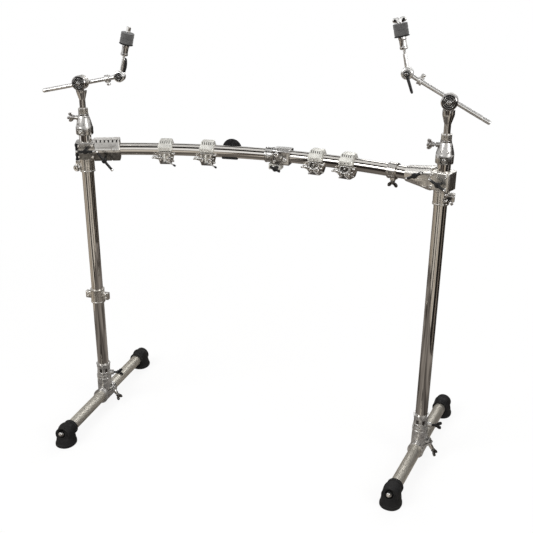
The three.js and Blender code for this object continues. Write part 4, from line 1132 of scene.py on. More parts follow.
# ---------------------------------------------------------------- main clamps and handles
def t_handle(bar_length, stand_off):
    """Shank, knurled hub and cross bar of a T handle, along +Z."""
    start = HANDLE_SEAT + stand_off
    end = start + 12
    level = end - 4 - SEAT_GAP
    shank = [(0, 0), (3.2, 0)] + threaded(SHANK_RADIUS, 0.4, start - 3)
    shank += [(SHANK_RADIUS, start + 1), (0, start + 1)]
    hub = [(0, start), (7.2, start), (8, start + 1.2), (8, end - 2.4), (6.2, end), (0, end)]
    hub = fluted(turned(hub, MEDIUM, 0.8), 18, 8.3, 0.7, 6, start + 3)
    bar = peg((-bar_length / 2, 0, level), (bar_length / 2, 0, level), SHANK_RADIUS, 2.4)
    return fused(turned(shank, SMALL, 0.3), hub, bar), level


def add_handle(name, place, bar_length, stand_off, tipped=True):
    form, level = t_handle(bar_length, stand_off)
    show(name + "_lever", form, place, black_handle, name, name)
    if tipped:
        caps = []
        for way in (-1, 1):
            tip = way * (bar_length / 2)
            caps.append(peg((tip - way * 7, 0, level), (tip - way * 0.6, 0, level), 4.35, 1.2))
        show(name + "_end_caps", fused(*caps), place, fitting_chrome, name)


def clamp_angle(side):
    return CLAMP_TURN if side < 0 else 180 - CLAMP_TURN


def clamp_bar_bore(side):
    """The bar's curve as the main clamp's own frame sees it."""
    end = math.radians(BAR_END_ANGLE) + SEAT_GAP / BAR_BEND_RADIUS
    start = end - (BLOCK_WIDTH + SLEEVE_LENGTH + 20) / BAR_BEND_RADIUS
    curve = bar_curve([side * (start + (end - start) * step / 16) for step in range(17)])
    return moved(curve, turn(-clamp_angle(side)) @ shift(-side * HALF_SPACING, BEND_CENTRE_Y, 0))


def crosswise(sections, rim):
    """A stacked block laid along X. Each section is place, depth, height and corner."""
    standing = [(height / 2, depth / 2, corner, place, 0, 0) for place, depth, height, corner in sections]
    return moved(stacked(standing, rim), turn(90, "Y"))


def shaped_sleeve(start, end):
    """The left sleeve: a leaning upper face, a round rib along the middle, a lower face that turns under."""
    half_y, half_z = SLEEVE_DEPTH / 2, SLEEVE_HEIGHT / 2
    front = [(-half_y + 10, half_z), (-half_y + 8, half_z - 3), (-half_y + 1.6, 7), (-half_y, 4), (-half_y, -4)]
    front += [(-half_y + 1.6, -7), (-half_y + 6, -half_z + 4), (-half_y + 10, -half_z)]
    section = front + [(-y, z) for y, z in reversed(front)]
    path = eased([Vector(point) for point in section], 2.5, True, 3)
    middle = Vector((0, 0))
    rings = []
    for x, share in ((start, 0.95), (start + 2, 1), (end - 2.5, 1), (end - 0.8, 0.975), (end, 0.93)):
        rings.append([Vector((x, *(middle.lerp(point, share)))) for point in path])
    return skin(rings)


def sleeve_cuts():
    """What is cut from the left clamp: a groove, the top notches, the block's recesses, holes and a slot."""
    edge, half_depth, half_height = BLOCK_WIDTH / 2, BLOCK_DEPTH / 2, BLOCK_HEIGHT / 2
    groove = edge + SLEEVE_LENGTH - 27
    def band(places, more, corner):
        return crosswise([(x, SLEEVE_DEPTH + more, SLEEVE_HEIGHT + more, corner) for x in places], 0.2)

    top_notches = notches(*SLEEVE_NOTCHES, (4.5, 16.0, 16.0), clamp_cast)
    tools = [
        cut(band((groove, groove + 3), 8, 9), band((groove - 5, groove + 8), -6, 6)),
        moved(top_notches, shift(SLEEVE_MIDDLE, 4 - SLEEVE_DEPTH / 2, SLEEVE_HEIGHT / 2)),
        slab((-edge - 4, -40, -7), (edge - 1, 5 - half_depth, 15), 2, 1),
        slab((-edge - 4, -40, -half_height - 3), (edge - 2, 3 - half_depth, 3 - half_height), 2, 1),
    ]
    for first, height, radius, count in ((-18, -15, 2.1, 4), (-12, -24, 1.6, 3)):
        places = [SLEEVE_MIDDLE + first + i * 12 for i in range(count)]
        tools += [rod((x, -22, height), (x, -34, height), radius) for x in places]
    return tools + [slab((edge + 4, -30, 9.2), (edge + 48, -25.2, 10.8), 0.4, 0.2)]


def tapered_arm(reach):
    edge, end = BLOCK_WIDTH / 2, reach + ARM_LENGTH
    rows = [(reach, 16), (reach + 4, 16), (edge + 6, 17)]
    sections = [(place, ARM_ROOT - 10, ARM_ROOT, corner) for place, corner in rows]
    sections += [(edge + 30, 54, 58, 19), (edge + 55, 51, 52, 20)]
    return crosswise(sections + [(place, ARM_END, ARM_END, 19) for place in (end - 2, end)], 2.5)


def arm_cuts():
    """What is cut from the right clamp's front: a line and a pocket."""
    edge = BLOCK_WIDTH / 2
    line = slab((edge + 2, 28 - 1.4, -1.1), (edge + 40, 28 + 1.4, 1.1), 0.4, 0.2)
    return [line, slab((edge + 6, 24.6, -22), (edge + 34, 34, -8), 3, 1)]


def main_clamp(side):
    half_width, half_height = BLOCK_WIDTH / 2, BLOCK_HEIGHT / 2
    ends = [(half_width, BLOCK_DEPTH / 2, 9, height, 0, 0) for height in (-half_height, half_height)]
    grip = stacked(ends, 3, 4)
    reach = half_width - 6
    arm = shaped_sleeve(reach, half_width + SLEEVE_LENGTH) if side < 0 else tapered_arm(reach)
    tools = [tube_hole((0, 0, -70), (0, 0, 70)), clamp_bar_bore(side)]
    tools.append(slab((-half_width - 5, -CLAMP_SLIT / 2, -70), (0, CLAMP_SLIT / 2, 70), 0.4, 0.2))
    tools += sleeve_cuts() if side < 0 else arm_cuts()
    for _, along, height, *_ in HANDLES[side]:
        seat = handle_seat(side, along, height)
        tools.append(bolt_hole(seat, seat + Vector((0, side * 20, 0))))
    return cut(fused(grip, arm), *tools)


# The handles of each main clamp: name, place along the clamp, height, lean in degrees, bar length and stand-off
HANDLES = {
    -1: (("left_upright_handle", 3, 5, 0, 60, 14), ("left_bar_handle", 61, -22, -53, 80, 27)),
    1: (("right_upright_handle", -8, -3, -26, 60, 14), ("right_bar_handle", 57, 15, 28, 58, 27)),
}


def handle_seat(side, along, height):
    face = SLEEVE_DEPTH / 2 if along > BLOCK_WIDTH / 2 else BLOCK_DEPTH / 2
    return Vector((along, side * (face - HANDLE_SEAT), height))


def add_main_clamp(side, label, finish):
    place = rack @ shift(side * HALF_SPACING, 0, BAR_HEIGHT) @ turn(clamp_angle(side))
    show(label + "_clamp_casting", main_clamp(side), place, finish, "frame", label + "_main_clamp")
    for name, along, height, lean, length, stand_off in HANDLES[side]:
        seat = at(handle_seat(side, along, height), (0, side, 0))
        spin = turn(lean if side < 0 else 180 + lean)
        add_handle(name, place @ seat @ spin, length, stand_off)
    if side < 0:
        x, y = -26, -31.5
        stud = [peg((x, y, -27), (x, y, 27), 3.4, 1.6)]
        stud += [peg((x, y, z), (x, y, z + 7), 4.6, 1) for z in (-27, -12, 18)]
        show("left_clamp_black_stud", fused(*stud), place, black_handle, "frame")
        # Dark plastic in the sleeve's top notches: painted shade inside them
        painted_shade_inlays = notches(*SLEEVE_NOTCHES, (4.2, 3.0, 7.1), washer_plastic)
        painted_shade_inlays = moved(painted_shade_inlays, shift(SLEEVE_MIDDLE, -16.7, 29.45))
        show("left_clamp_notch_inlays", painted_shade_inlays, place, washer_plastic, "frame")
    spots = []
    for x, way, rise in ((-22, side, 17), (22, side, 18), (-22, -side, 17)):
        spots += [((x, way * 27, height), (0, way, 0)) for height in (-rise, rise)]
    screws(label + "_clamp_screws", spots, place, fitting_chrome, "frame", 0.8)


add_main_clamp(-1, "left", sleeve_cast)
add_main_clamp(1, "right", grip_cast)


# ---------------------------------------------------------------- clamps on the bar
def add_bar_collar():
    place = on_bar(math.radians(BAR_END_ANGLE) * BAR_BEND_RADIUS - BAR_COLLAR_INSET)
    outer = CLAMP_BORE + COLLAR_WALL
    ring = moved(collar_form(outer, BAR_COLLAR_LENGTH), at((-BAR_COLLAR_LENGTH / 2, 0, 0), (1, 0, 0)))
    boss = rod((0, 0, -outer - COLLAR_WALL), (0, 0, 0), 9, ease=1)
    tools = [bent_bore(BAR_COLLAR_LENGTH), bolt_hole((0, 0, -outer - 10), (0, 0, 0))]
    for x in (-5, 5):
        for angle in (20, 55):
            window_place = turn(angle, "X") @ shift(x, -outer - 1.2, 0)
            tools.append(moved(slab((-3, -3, -4), (3, 3, 4), 1.2, 0.6), window_place))
    name = "bar_collar"
    show(name + "_ring", cut(fused(ring, boss), *tools), place, clamp_cast, name, name)
    name = "bar_collar_bolt"
    bolt_place = place @ shift(0, 0, -CLAMP_BORE - SEAT_GAP) @ turn(180, "Y")
    show(name + "_wings", wing_bolt(10), bolt_place, smoked_chrome, name, name)


# Sections of a tom clamp's saddle and jaw from below: length, reach to the front and to the back, and height
SADDLE_ROWS = (
    (45, 30, 27, 1.5),
    (45, 30, 27, 3),
    (45, 30, 27, 13),
    (44, 28.6, 26.2, 15),
    (38, 15.2, 20.8, 29.5),
    (37, 14, 20, 31),
)
JAW_ROWS = (
    (36, 24, 20, -42.5),
    (36.5, 24.5, 20.5, -41),
    (41, 29, 26, -28),
    (42, 30, 27, -26),
    (42, 30, 27, -3),
    (42, 30, 27, -1.5),
)


def tom_clamp_parts():
    def block(rows):
        sections = []
        for length, front, back, height in rows:
            sections.append((length / 2, (front + back) / 2, 5, height, 0, (back - front) / 2))
        return stacked(sections, 1.2)

    top_grooves = moved(notches(*SADDLE_NOTCHES, (2.4, 16.0, 15.0), clamp_cast), shift(0, -20, 31))
    face_slot = slab((-15, -33, 4.6), (15, -28.8, 9.4), 2, 0.8)
    saddle = cut(block(SADDLE_ROWS), bent_bore(46), top_grooves, face_slot)
    tools = [
        bent_bore(42),
        rod((0, -40, JAW_ROD_HEIGHT), (0, 40, JAW_ROD_HEIGHT), ROD_BORE),
        bolt_hole((-30, *JAW_BOLT), (30, *JAW_BOLT)),
        slab((-13, -33, -14), (13, -28.8, -5.5), 2.5, 0.8),
    ]
    return saddle, cut(block(JAW_ROWS), *tools)


def add_jaw_fittings(name, place, crossed):
    """The busy front of a jaw: two knobs, side studs, and crossed wings or a bar with a rod screw."""
    body = name + "_jaw"
    profile = [(0, -1), (3.4, -1), (3.4, 2), (6, 2.5), (6.6, 4), (6.6, 7), (5.4, 8.6), (2, 9), (0, 8.4)]
    knob = fluted(turned(profile, MEDIUM, 0.6), 12, 7.1, 0.9, 8, 5.5)
    for number, spot in enumerate(((-13, -29.5, -22), (13.5, -29.5, -24)), 1):
        show(f"{name}_front_knob_{number}", knob.copy(), place @ at(spot, TO_PLAYER), fitting_chrome, body)
    studs = [
        peg((19, -21, -9), (29, -21, -9), 3.2, 1),
        peg((19, -17, -33), (27, -17, -33), 3.6, 1),
        peg((25, -21, -9), (31, -21, -9), 4.8, 1.2),
    ]
    show(name + "_side_studs", fused(*studs), place, fitting_chrome, body)
    if crossed:
        cross = [peg((-15, 0, -way * 12), (15, 0, way * 12), 2.6, 2) for way in (1, -1)]
        cross.append(peg((0, -3, 0), (0, 8, 0), 4.6, 1))
        show(name + "_crossed_wings", fused(*cross), place @ shift(0, -34, -26), fitting_chrome, body)
    else:
        bar = slab((-3.2, -3, -12), (3.2, 3, 12), 2.6, 1.6)
        show(name + "_front_bar", bar, place @ shift(-1, -31, -20), saddle_cast, body)
        rod_screw = fused(peg((0, 0, 0), (0, 0, 21), 2.2, 0.6), peg((0, 0, -3), (0, 0, 3), 5, 1))
        screw_place = place @ at((10, -27, -34), (0.86, -0.2, -0.42))
        show(name + "_rod_screw", rod_screw, screw_place, fitting_chrome, body)
        show(name + "_rod_screw_tip", peg((0, 0, 19), (0, 0, 27), 3.1, 1.4), screw_place, black_handle, body)
    # A black slab in the jaw's front: painted shade of a pocket
    pocket = slab((-10, -2.4, -7), (10, 0, 7), 2, 0.6)
    show(name + "_dark_pocket", pocket, place @ shift(0, -26.2, -19), washer_plastic, body)


def add_tom_clamp(number, bar_place):
    name = f"tom_clamp_{number}"
    jaw_name, bolt_name = name + "_jaw", name + "_bolt"
    place = on_bar(bar_place)
    saddle, jaw = tom_clamp_parts()
    show(name + "_saddle_casting", saddle, place, saddle_cast, name, name + "_saddle")
    show(jaw_name + "_casting", jaw, place, jaw_cast, jaw_name, jaw_name)
    bolt = wing_bolt(42 + SHANK_RADIUS + SEAT_GAP, 22)
    bolt_place = place @ at((25, *JAW_BOLT), (-1, 0, 0)) @ turn(90)
    show(bolt_name + "_wings", bolt, bolt_place, fitting_chrome, bolt_name, name + "_wing_bolt")
    # Dark plastic in the saddle's front grooves: painted shade inside them
    painted_shade_ticks = notches(*SADDLE_NOTCHES, (2.3, 9.0, 6.0), washer_plastic)
    painted_shade_ticks = moved(painted_shade_ticks, shift(0, -14.6, 24.6) @ turn(47.3, "X"))
    show(name + "_tick_inlays", painted_shade_ticks, place, washer_plastic, name)
    spots = [((x, -30, 7), TO_PLAYER) for x in (-10.5, 0, 10.5)]
    screws(name + "_saddle_screws", spots, place, fitting_chrome, name, 0.5)
    spots = [((x, y, -9.8), TO_PLAYER) for x, y in ((-15, -29.6), (15, -29.6), (0, -30))]
    screws(jaw_name + "_screws", spots, place, fitting_chrome, jaw_name, 0.62)
    ring_place = place @ at((0, -29, JAW_ROD_HEIGHT), (0, 1, 0))
    show(name + "_rod_ring", hoop(6.6, 9.2, 0, 3, 0.8, MEDIUM), ring_place, smoked_chrome, jaw_name)
    add_jaw_fittings(name, place, number > 2)


def add_centre_clamp():
    name = "centre_clamp"
    place = on_bar(CENTRE_CLAMP_PLACE)
    half = 27
    ring_length = 24
    ring_end = half + 3 + ring_length
    ring_radius = CLAMP_BORE + COLLAR_WALL
    grip = crosswise([(-half, 50, 48, 6), (half, 50, 48, 6)], 2)
    neck = rod((-half - 3.3, 0, 0), (0, 0, 0), ring_radius - 2.25, sides=FINE)
    profile = [(0, 0), (ring_radius, 0), (ring_radius, 4), (ring_radius - 1, 5.2)]
    profile += [(ring_radius - 1, ring_length - 5.2), (ring_radius, ring_length - 4)]
    profile += [(ring_radius, ring_length), (0, ring_length)]
    ring = moved(turned(profile, FINE, 0.8), at((-ring_end, 0, 0), (1, 0, 0)))
    slots = moved(notches(5, 7.2, (2.6, 60.0, 3.2), grip_cast), shift(0, 0, 24))
    pocket = slab((-18, -27, -8), (18, -23.6, 8), 3, 1)
    body = cut(fused(grip, neck, ring), bent_bore(2 * ring_end), slots, pocket)
    show(name + "_casting", body, place, jaw_cast, name, name + "_body")
    for number, (x, z, radius) in enumerate(((-14, 7, 8.5), (14, -6, 7)), 1):
        profile = [(0, -3), (radius, -3), (radius, 3), (radius - 1.6, 5), (3.4, 5.4), (2.6, 3.6), (0, 3.6)]
        cap = fluted(turned(profile, MEDIUM, 0.6), 16, radius + 0.6, 1.0, 7, 1.5)
        show(f"{name}_cap_{number}", cap, place @ at((x, -25, z), TO_PLAYER), fitting_chrome, name)
    panel = slab((-17.5, -24.6, -7.5), (17.5, -23.2, 7.5), 3, 0.5)
    show(name + "_dark_panel", panel, place, washer_plastic, name)
    places = ((-ring_end + 12, -ring_radius + 0.6, 0), (2, -24.6, 1), (-20, -24.6, -14))
    screws(name + "_screws", [(spot, TO_PLAYER) for spot in places], place, fitting_chrome, name, 0.9)
    jaw_place = place @ shift(-22, 0, -24.3)
    jaw = stacked([(20, 17, 5, -18, 0, 0), (20, 17, 5, 0, 0, 0)], 1.5)
    seat = Vector((9, -17 + HANDLE_SEAT, -9))
    tools = [rod((-9, -30, -9), (-9, 30, -9), ROD_BORE), bolt_hole(seat, seat + Vector((0, -20, 0)))]
    show(name + "_jaw_block", cut(jaw, *tools), jaw_place, saddle_cast, name + "_jaw", name + "_jaw")
    add_handle(name + "_handle", jaw_place @ at(seat, TO_PLAYER) @ turn(-22), 36, 14, False)


def add_badge():
    """The blank disc behind the bar, on its clip."""
    place = on_bar(BADGE_PLACE)
    profile = [(0, 0), (30.4, 0), (31, 0.8), (31, 4), (29.4, 5.2), (27.6, 4.6), (26.6, 4.4)]
    profile += [(22, 5.4), (12, 6), (0, 6)]
    disc = moved(turned(profile, FINE, 0.7), at((0, CLAMP_BORE + 2, 5), (0, 1, 0)))
    outer = CLAMP_BORE + 4
    wrap = rod((-24, 0, 0), (24, 0, 0), outer, ease=1, sides=FINE)
    lip = math.sin(math.radians(38)) * outer
    clip = combined(wrap, [slab((-30, -lip, -40), (30, 40, 0), 0.5, 0.2)], "INTERSECT")
    show("badge_plate", cut(fused(disc, clip), bent_bore(60)), place, badge_gloss, "frame", "badge_disc")


add_bar_collar()
for clamp_number, clamp_place in enumerate(TOM_CLAMP_PLACES, 1):
    add_tom_clamp(clamp_number, clamp_place)
add_centre_clamp()
add_badge()


# ---------------------------------------------------------------- booms
# Each boom: its side, the way its tilter's face looks, its azimuth, the arm's rise, the tilter's height, the
# arm's offset from it and reach to the cymbal tilter, and the stem's lean, in millimetres and degrees
BOOM_KEYS = ("side", "front", "azimuth", "rise", "tilt", "off", "reach", "lean")
BOOMS = {
    "left": dict(zip(BOOM_KEYS, (-1, -1, 5, 12, 95, -4, 126, 14))),
    "right": dict(zip(BOOM_KEYS, (1, 1, 180, 27.7, 106, 4, 138, 13))),
}


def square_line(spread, front, back, rim):
    """The square line round the screw of an adapter's panel, wider by spread at each edge."""
    outer = slab((-10.6 - spread, front, 5 - spread), (10.6 + spread, back, 22 + spread), 1.8, rim)
    inner = slab((spread - 9, -31, 6.6 + spread), (9 - spread, -20, 20.4 - spread), 1.2, rim)
    return cut(outer, inner)


def add_adapter(side, label):
    place = rack @ shift(side * HALF_SPACING, 0, ADAPTER_BASE)
    name = label + "_boom_adapter"
    band = TUBE_BORE + 7.5
    profile = [(0, 0), (band - 3, 0), (band, 3), (band, 24), (band - 1.5, 27), (22.5, 40), (18.5, 54)]
    profile += [(16, 60), (16, ADAPTER_HEIGHT), (0, ADAPTER_HEIGHT)]
    hexagon = turned([(0, -1), (28.6, -1), (28.6, 27), (30, 28), (30, 67), (0, 67)], 6, 0.01)
    body = combined(turned(profile, FINE, 1.5), [moved(hexagon, turn(30))], "INTERSECT")
    bolt_level = ADAPTER_BOLT_HEIGHT
    boss = rod((0, 0, bolt_level), (-27, 0, bolt_level), 7, ease=1)
    tools = [
        tube_hole((0, 0, -5), (0, 0, 25 + SEAT_GAP)),
        rod((0, 0, 0), (0, 0, ADAPTER_HEIGHT + 6), POST_RADIUS + FIT_GAP, sides=FINE),
        bolt_hole((0, 0, bolt_level), (-33, 0, bolt_level)),
    ]
    for angle in (-114, -66, 66, 114):
        dimple = rod((0, 0, -4), (0, 0, 4), 3.2, ease=0.8)
        tools.append(moved(dimple, turn(angle) @ shift(24.2, 0, 36) @ turn(66, "Y")))
    show(name + "_casting", cut(fused(body, boss), *tools), place, adapter_cast, name, name)
    panel = slab((-12.5, -band + 0.1, 3), (12.5, -23, 24), 2.5, 0.8)
    groove = square_line(0, -30, -band + 1.3, 0.3)
    panel = cut(panel, groove, tube_hole((0, 0, -5), (0, 0, 40)))
    show(name + "_panel", panel, place, jaw_cast, name)
    # Black plastic in the panel's square groove: painted shade along it
    line = square_line(0.1, -band + 0.5, -band + 1.5, 0.2)
    show(name + "_panel_line", line, place, washer_plastic, name)
    screws(name + "_screws", [((0, -band + 0.3, 13.5), TO_PLAYER)], place, fitting_chrome, name, 1.0)
    bolt = label + "_adapter_bolt"
    bolt_place = place @ at((-POST_RADIUS - SEAT_GAP, 0, bolt_level), (-1, 0, 0))
    flower = fused(wing_bolt(22, 29), moved(wings(14.5, 27, 7.4), turn(90)), wings(14.5, 27, 7.4))
    show(bolt + "_wings", flower, bolt_place, aged_chrome, bolt, bolt)


def post_shaft(front, tilt):
    """The post with its head, the fixed toothed disc of the tilter and the web between them."""
    head_top = tilt - 22
    profile = [(0, -150), (8.7, -150), (POST_RADIUS, -148), (POST_RADIUS, 44), (11.5, 50), (16.2, 66), (17, 70)]
    shaft = turned(profile + [(17, head_top), (0, head_top)], FINE, 1.0)

    def axis(along):
        return (0, front * along, tilt)

    disc = turned([(0, 0), (21.6, 0), (23, 1.4), (23, 11), (20.8, 13.2), (18.4, 14.7), (0, 14.7)], FINE, 0.8)
    way = (0, front, 0)
    disc = moved(disc, at(axis(TILTER_SEAT), way))
    near, far = sorted((front * TILTER_SEAT, front * 14))
    web = slab((-13, near, 70), (13, far, tilt), 2, 1)
    holder_room = rod(axis(TILTER_SEAT), axis(-22), 25, sides=FINE)
    near, far = sorted((-front * 1.5, -front * 22))
    arm_room = slab((-22, near, 51), (22, far, tilt), 1, 0.4)
    solid = fused(cut(shaft, holder_room, arm_room), disc, cut(web, holder_room.copy()))
    grooves = []
    for radius in (9.5, 14.5):
        grooves.append(moved(hoop(radius, radius + 1.6, -1.2, 3, 0.3, MEDIUM), at(axis(TILTER_FACE), way)))
    return cut(solid, *grooves, moved(ridges(36, 23.4, 1.15, 6.5), at(axis(12.4), way)))


def add_post(label, boom, swing):
    front, tilt = boom["front"], boom["tilt"]
    name = label + "_boom_post"
    show(name + "_shaft", post_shaft(front, tilt), swing, aged_chrome, name, name)
    collar = fluted(hoop(9.7, 15, 0.3, 17, 0.8), 24, 15.5, 1.1, 11, 8.6)
    show(name + "_collar", collar, swing, clamp_cast, name)
    face_place = swing @ at((0, front * TILTER_FACE, tilt), (0, front, 0))
    face = turned([(0, -1), (19.4, -1), (19.4, 0.5), (18.6, 1), (0, 1)], FINE, 0.3)
    show(name + "_black_face", face, face_place, washer_plastic, name)
    for number, radius in enumerate((15.6, 10.6), 1):
        ring = hoop(radius - 0.8, radius + 0.8, 0.5, 1.6, 0.4)
        show(f"{name}_bright_ring_{number}", ring, face_place, fitting_chrome, name)
    nut = turned([(0, -1), (7.5, -1), (7.5, 2), (6, 3.2), (5.6, 5), (0, 5)], 6, 0.6)
    show(name + "_tilt_nut", fused(nut, peg((0, 0, 0), (0, 0, 7), 3.4, 1)), face_place, fitting_chrome, name)


def add_holder(label, boom, tilter):
    front, off = boom["front"], boom["off"]
    name = label + "_boom_tilter"
    profile = [(0, 0), (21, 0), (22, 1.2), (22, 18), (20.5, 22), (17, 25.4), (12, 26), (0, 26)]
    disc = moved(turned(profile, FINE, 0.9), at((0, front * 6, 0), (0, -front, 0)))
    hole = rod((-30, -front * BOOM_OFFSET, off), (30, -front * BOOM_OFFSET, off), BOOM_RADIUS + FIT_GAP)
    teeth = moved(ridges(40, 22.5, 1.0, 7), at((0, front * 1.0, 0), (0, front, 0)))
    show(name + "_holder", cut(disc, hole, teeth), tilter, clamp_cast, name, name)
    hub = turned([(0, -0.8), (7, -0.8), (7, 3), (5.4, 4.4), (0, 4.4)], MEDIUM, 0.8)
    outline = [(-11, 1.2), (11, 1.2), (12, 3.6), (9, 4.6), (3, 4), (-3, 4), (-9, 4.6), (-12, 3.6)]
    nut = fused(hub, plate(outline, 4, 0.9, 0.8))
    nut_place = tilter @ at((0, -front * 20, 0), (0, -front, 0)) @ turn(30)
    show(name + "_wing_nut", nut, nut_place, fitting_chrome, name)


def arm_rod(front):
    """The boom's rod with its memory collar and the fixed disc of the cymbal tilter."""
    profile = [(0, 0), (4.6, 0), (5.8, 1.2), (BOOM_RADIUS, 3.4), (BOOM_RADIUS, 24), (5.6, 24.6), (5.6, 26.4)]
    profile += [(BOOM_RADIUS, 27), (BOOM_RADIUS, BOOM_LENGTH), (0, BOOM_LENGTH)]
    shaft = moved(turned(profile, MEDIUM, 0.5), at((-BOOM_LENGTH, 0, 0), (1, 0, 0)))
    profile = [(0, 0), (11.2, 0), (12, 0.8), (12, 3.6), (11, 4.6), (11, 9.4), (12, 10.4)]
    profile += [(12, 13.2), (11.2, 14), (0, 14)]
    collar = moved(turned(profile, MEDIUM, 0.5), at((-48, 0, 0), (1, 0, 0)))
    profile = [(0, 0), (17, 0), (17, 8.5), (15.6, 11), (12.5, 12), (12.5, ARM_FACE), (0, ARM_FACE)]
    disc = moved(turned(profile, FINE, 0.8), facing((0, front, 0)))
    near, far = sorted((-front * SEAT_GAP, -front * 18))
    room = slab((-24, near, -17), (17, far, 17), 0.5, 0.2)
    solid = fused(cut(fused(shaft, collar), room), disc)
    cap_place = at((0, front * ARM_FACE, 0), (0, front, 0))
    tools = [moved(hoop(radius, radius + 1.3, -0.9, 3, 0.2, MEDIUM), cap_place) for radius in (6.4, 9.6)]
    return cut(solid, *tools, moved(ridges(30, 17.4, 0.9, 4.4), at((0, front * 2.4, 0), (0, front, 0))))


def add_arm(label, boom, arm):
    front = boom["front"]
    name = label + "_boom_arm"
    show(name + "_rod", arm_rod(front), arm, satin_chrome, name, name)
    if boom["side"] < 0:
        cap_place = arm @ at((0, front * ARM_FACE, 0), (0, front, 0))
        face = turned([(0, -0.8), (12.4, -0.8), (12.4, 0.4), (11.8, 0.8), (0, 0.8)], FINE, 0.2)
        show(name + "_black_face", face, cap_place, washer_plastic, name)
        show(name + "_bright_ring", hoop(7.4, 9.2, 0.4, 1.5, 0.4), cap_place, fitting_chrome, name)
        pin = turned([(0, 0), (3.6, 0), (3.6, 1.8), (2.8, 2.6), (0, 2.6)], SMALL, 0.4)
        show(name + "_pin", pin, cap_place, fitting_chrome, name)
    down = -1 if boom["side"] < 0 else 1
    knob = turned([(0, -3), (3, -3), (3, 3), (5.6, 3.6), (6, 5), (6, 9), (5, 10.4), (0, 10.4)], MEDIUM, 0.6)
    knob_place = arm @ at((-41, 0, down * 10), (0, 0, down))
    show(name + "_collar_knob", fluted(knob, 12, 6.4, 0.8, 5, 7), knob_place, fitting_chrome, name)


def add_stem(label, boom, stem):
    name = label + "_cymbal_stem"
    disc = turned([(0, -6), (14.6, -6), (16, -4.6), (16, 4.6), (14.6, 6), (0, 6)], FINE, 0.6)
    profile = [(0, 0), (STEM_RADIUS + 1.6, 0), (STEM_RADIUS + 1.2, 51), (STEM_RADIUS, 52)]
    profile += threaded(STEM_RADIUS, 52.5, 62) + [(STEM_RADIUS, 63), (STEM_RADIUS, 128)]
    profile += threaded(STEM_RADIUS, 129, STEM_LENGTH - 6) + [(2.6, STEM_LENGTH - 5), (0, STEM_LENGTH - 5)]
    solid = fused(moved(disc, facing((0, 1, 0))), turned(profile, SMALL, 0.3))
    teeth = moved(ridges(30, 16.4, 0.9, 4), at((0, boom["front"] * 3, 0), (0, 1, 0)))
    show(name + "_rod", cut(solid, teeth), stem, satin_chrome, name, name)
    top = STEM_SLEEVE_TOP
    profile = [(4.2, 63), (8.6, 63), (11, 65), (11, 70), (9.9, 71.2), (9.9, 88.8)]
    profile += [(11, 90), (11, top), (4.2, top)]
    sleeve = fluted(turned(profile, FINE, 0.8, True), 16, 11.3, 1.1, 15, 80)
    show(name + "_sleeve", sleeve, stem, aged_chrome, name)
    profile = [(4.2, top), (20.2, top), (21, top + 0.8), (21, top + 2.2), (20.2, top + 3), (4.2, top + 3)]
    show(name + "_washer", turned(profile, FINE, 0.4, True), stem, washer_plastic, name)
    profile = [(4.4, 0.15), (18.6, 0.15), (19.8, 1.6), (20, 5), (19.7, 11)]
    profile += [(19.9, 14.6), (18.6, 15.85), (4.4, 15.85)]
    for base, level in ((FELT_BASE, "lower"), (FELT_BASE + FELT_HEIGHT, "upper")):
        form = turned([(radius, base + height) for radius, height in profile], FINE, 1.2, True)
        show(f"{label}_{level}_felt", form, stem, felt, name, label + "_cymbal_felts")
    if boom["side"] < 0:
        profile = [(4.3, TOP_FITTING_BASE), (7.4, TOP_FITTING_BASE), (7.4, 136), (6.8, 137), (6.8, 148.6)]
        profile += [(5.4, 148.6), (5.4, 143), (4.3, 143)]
        show(label + "_top_sleeve", turned(profile, MEDIUM, 0.4, True), stem, fitting_chrome, name)
    else:
        add_right_wing_nut(stem)


def add_right_wing_nut(stem):
    body = "right_cymbal_nut"
    profile = [(4.4, TOP_FITTING_BASE), (7.6, TOP_FITTING_BASE), (7.6, 134), (6.6, 136), (6.2, 143), (4.4, 143)]
    half = [(17, 2), (19.5, 8), (17, 14), (9, 15)]
    outline = [(-8, 0), (8, 0), *half, (0, 13.4), *[(-x, z) for x, z in reversed(half)]]
    ears = moved(plate(outline, 9, 1.8, 4.0), shift(0, 0, 133.6))
    ears = cut(ears, rod((0, 0, 120), (0, 0, 160), 5.0, sides=SMALL))
    nut = fused(turned(profile, MEDIUM, 0.5, True), ears)
    show("right_wing_nut", nut, stem, fitting_chrome, body, "right_cymbal_wing_nut")
    # Black ovals on the chrome ears: painted dark reflections
    spots = [(x, way) for x in (-12, 12) for way in (-1, 1)]
    painted_reflection_ovals = [peg((x, way * 3, 141.6), (x, way * 4.8, 141.6), 3.8, 0.3) for x, way in spots]
    show("right_wing_nut_ovals", fused(*painted_reflection_ovals), stem, washer_plastic, body)


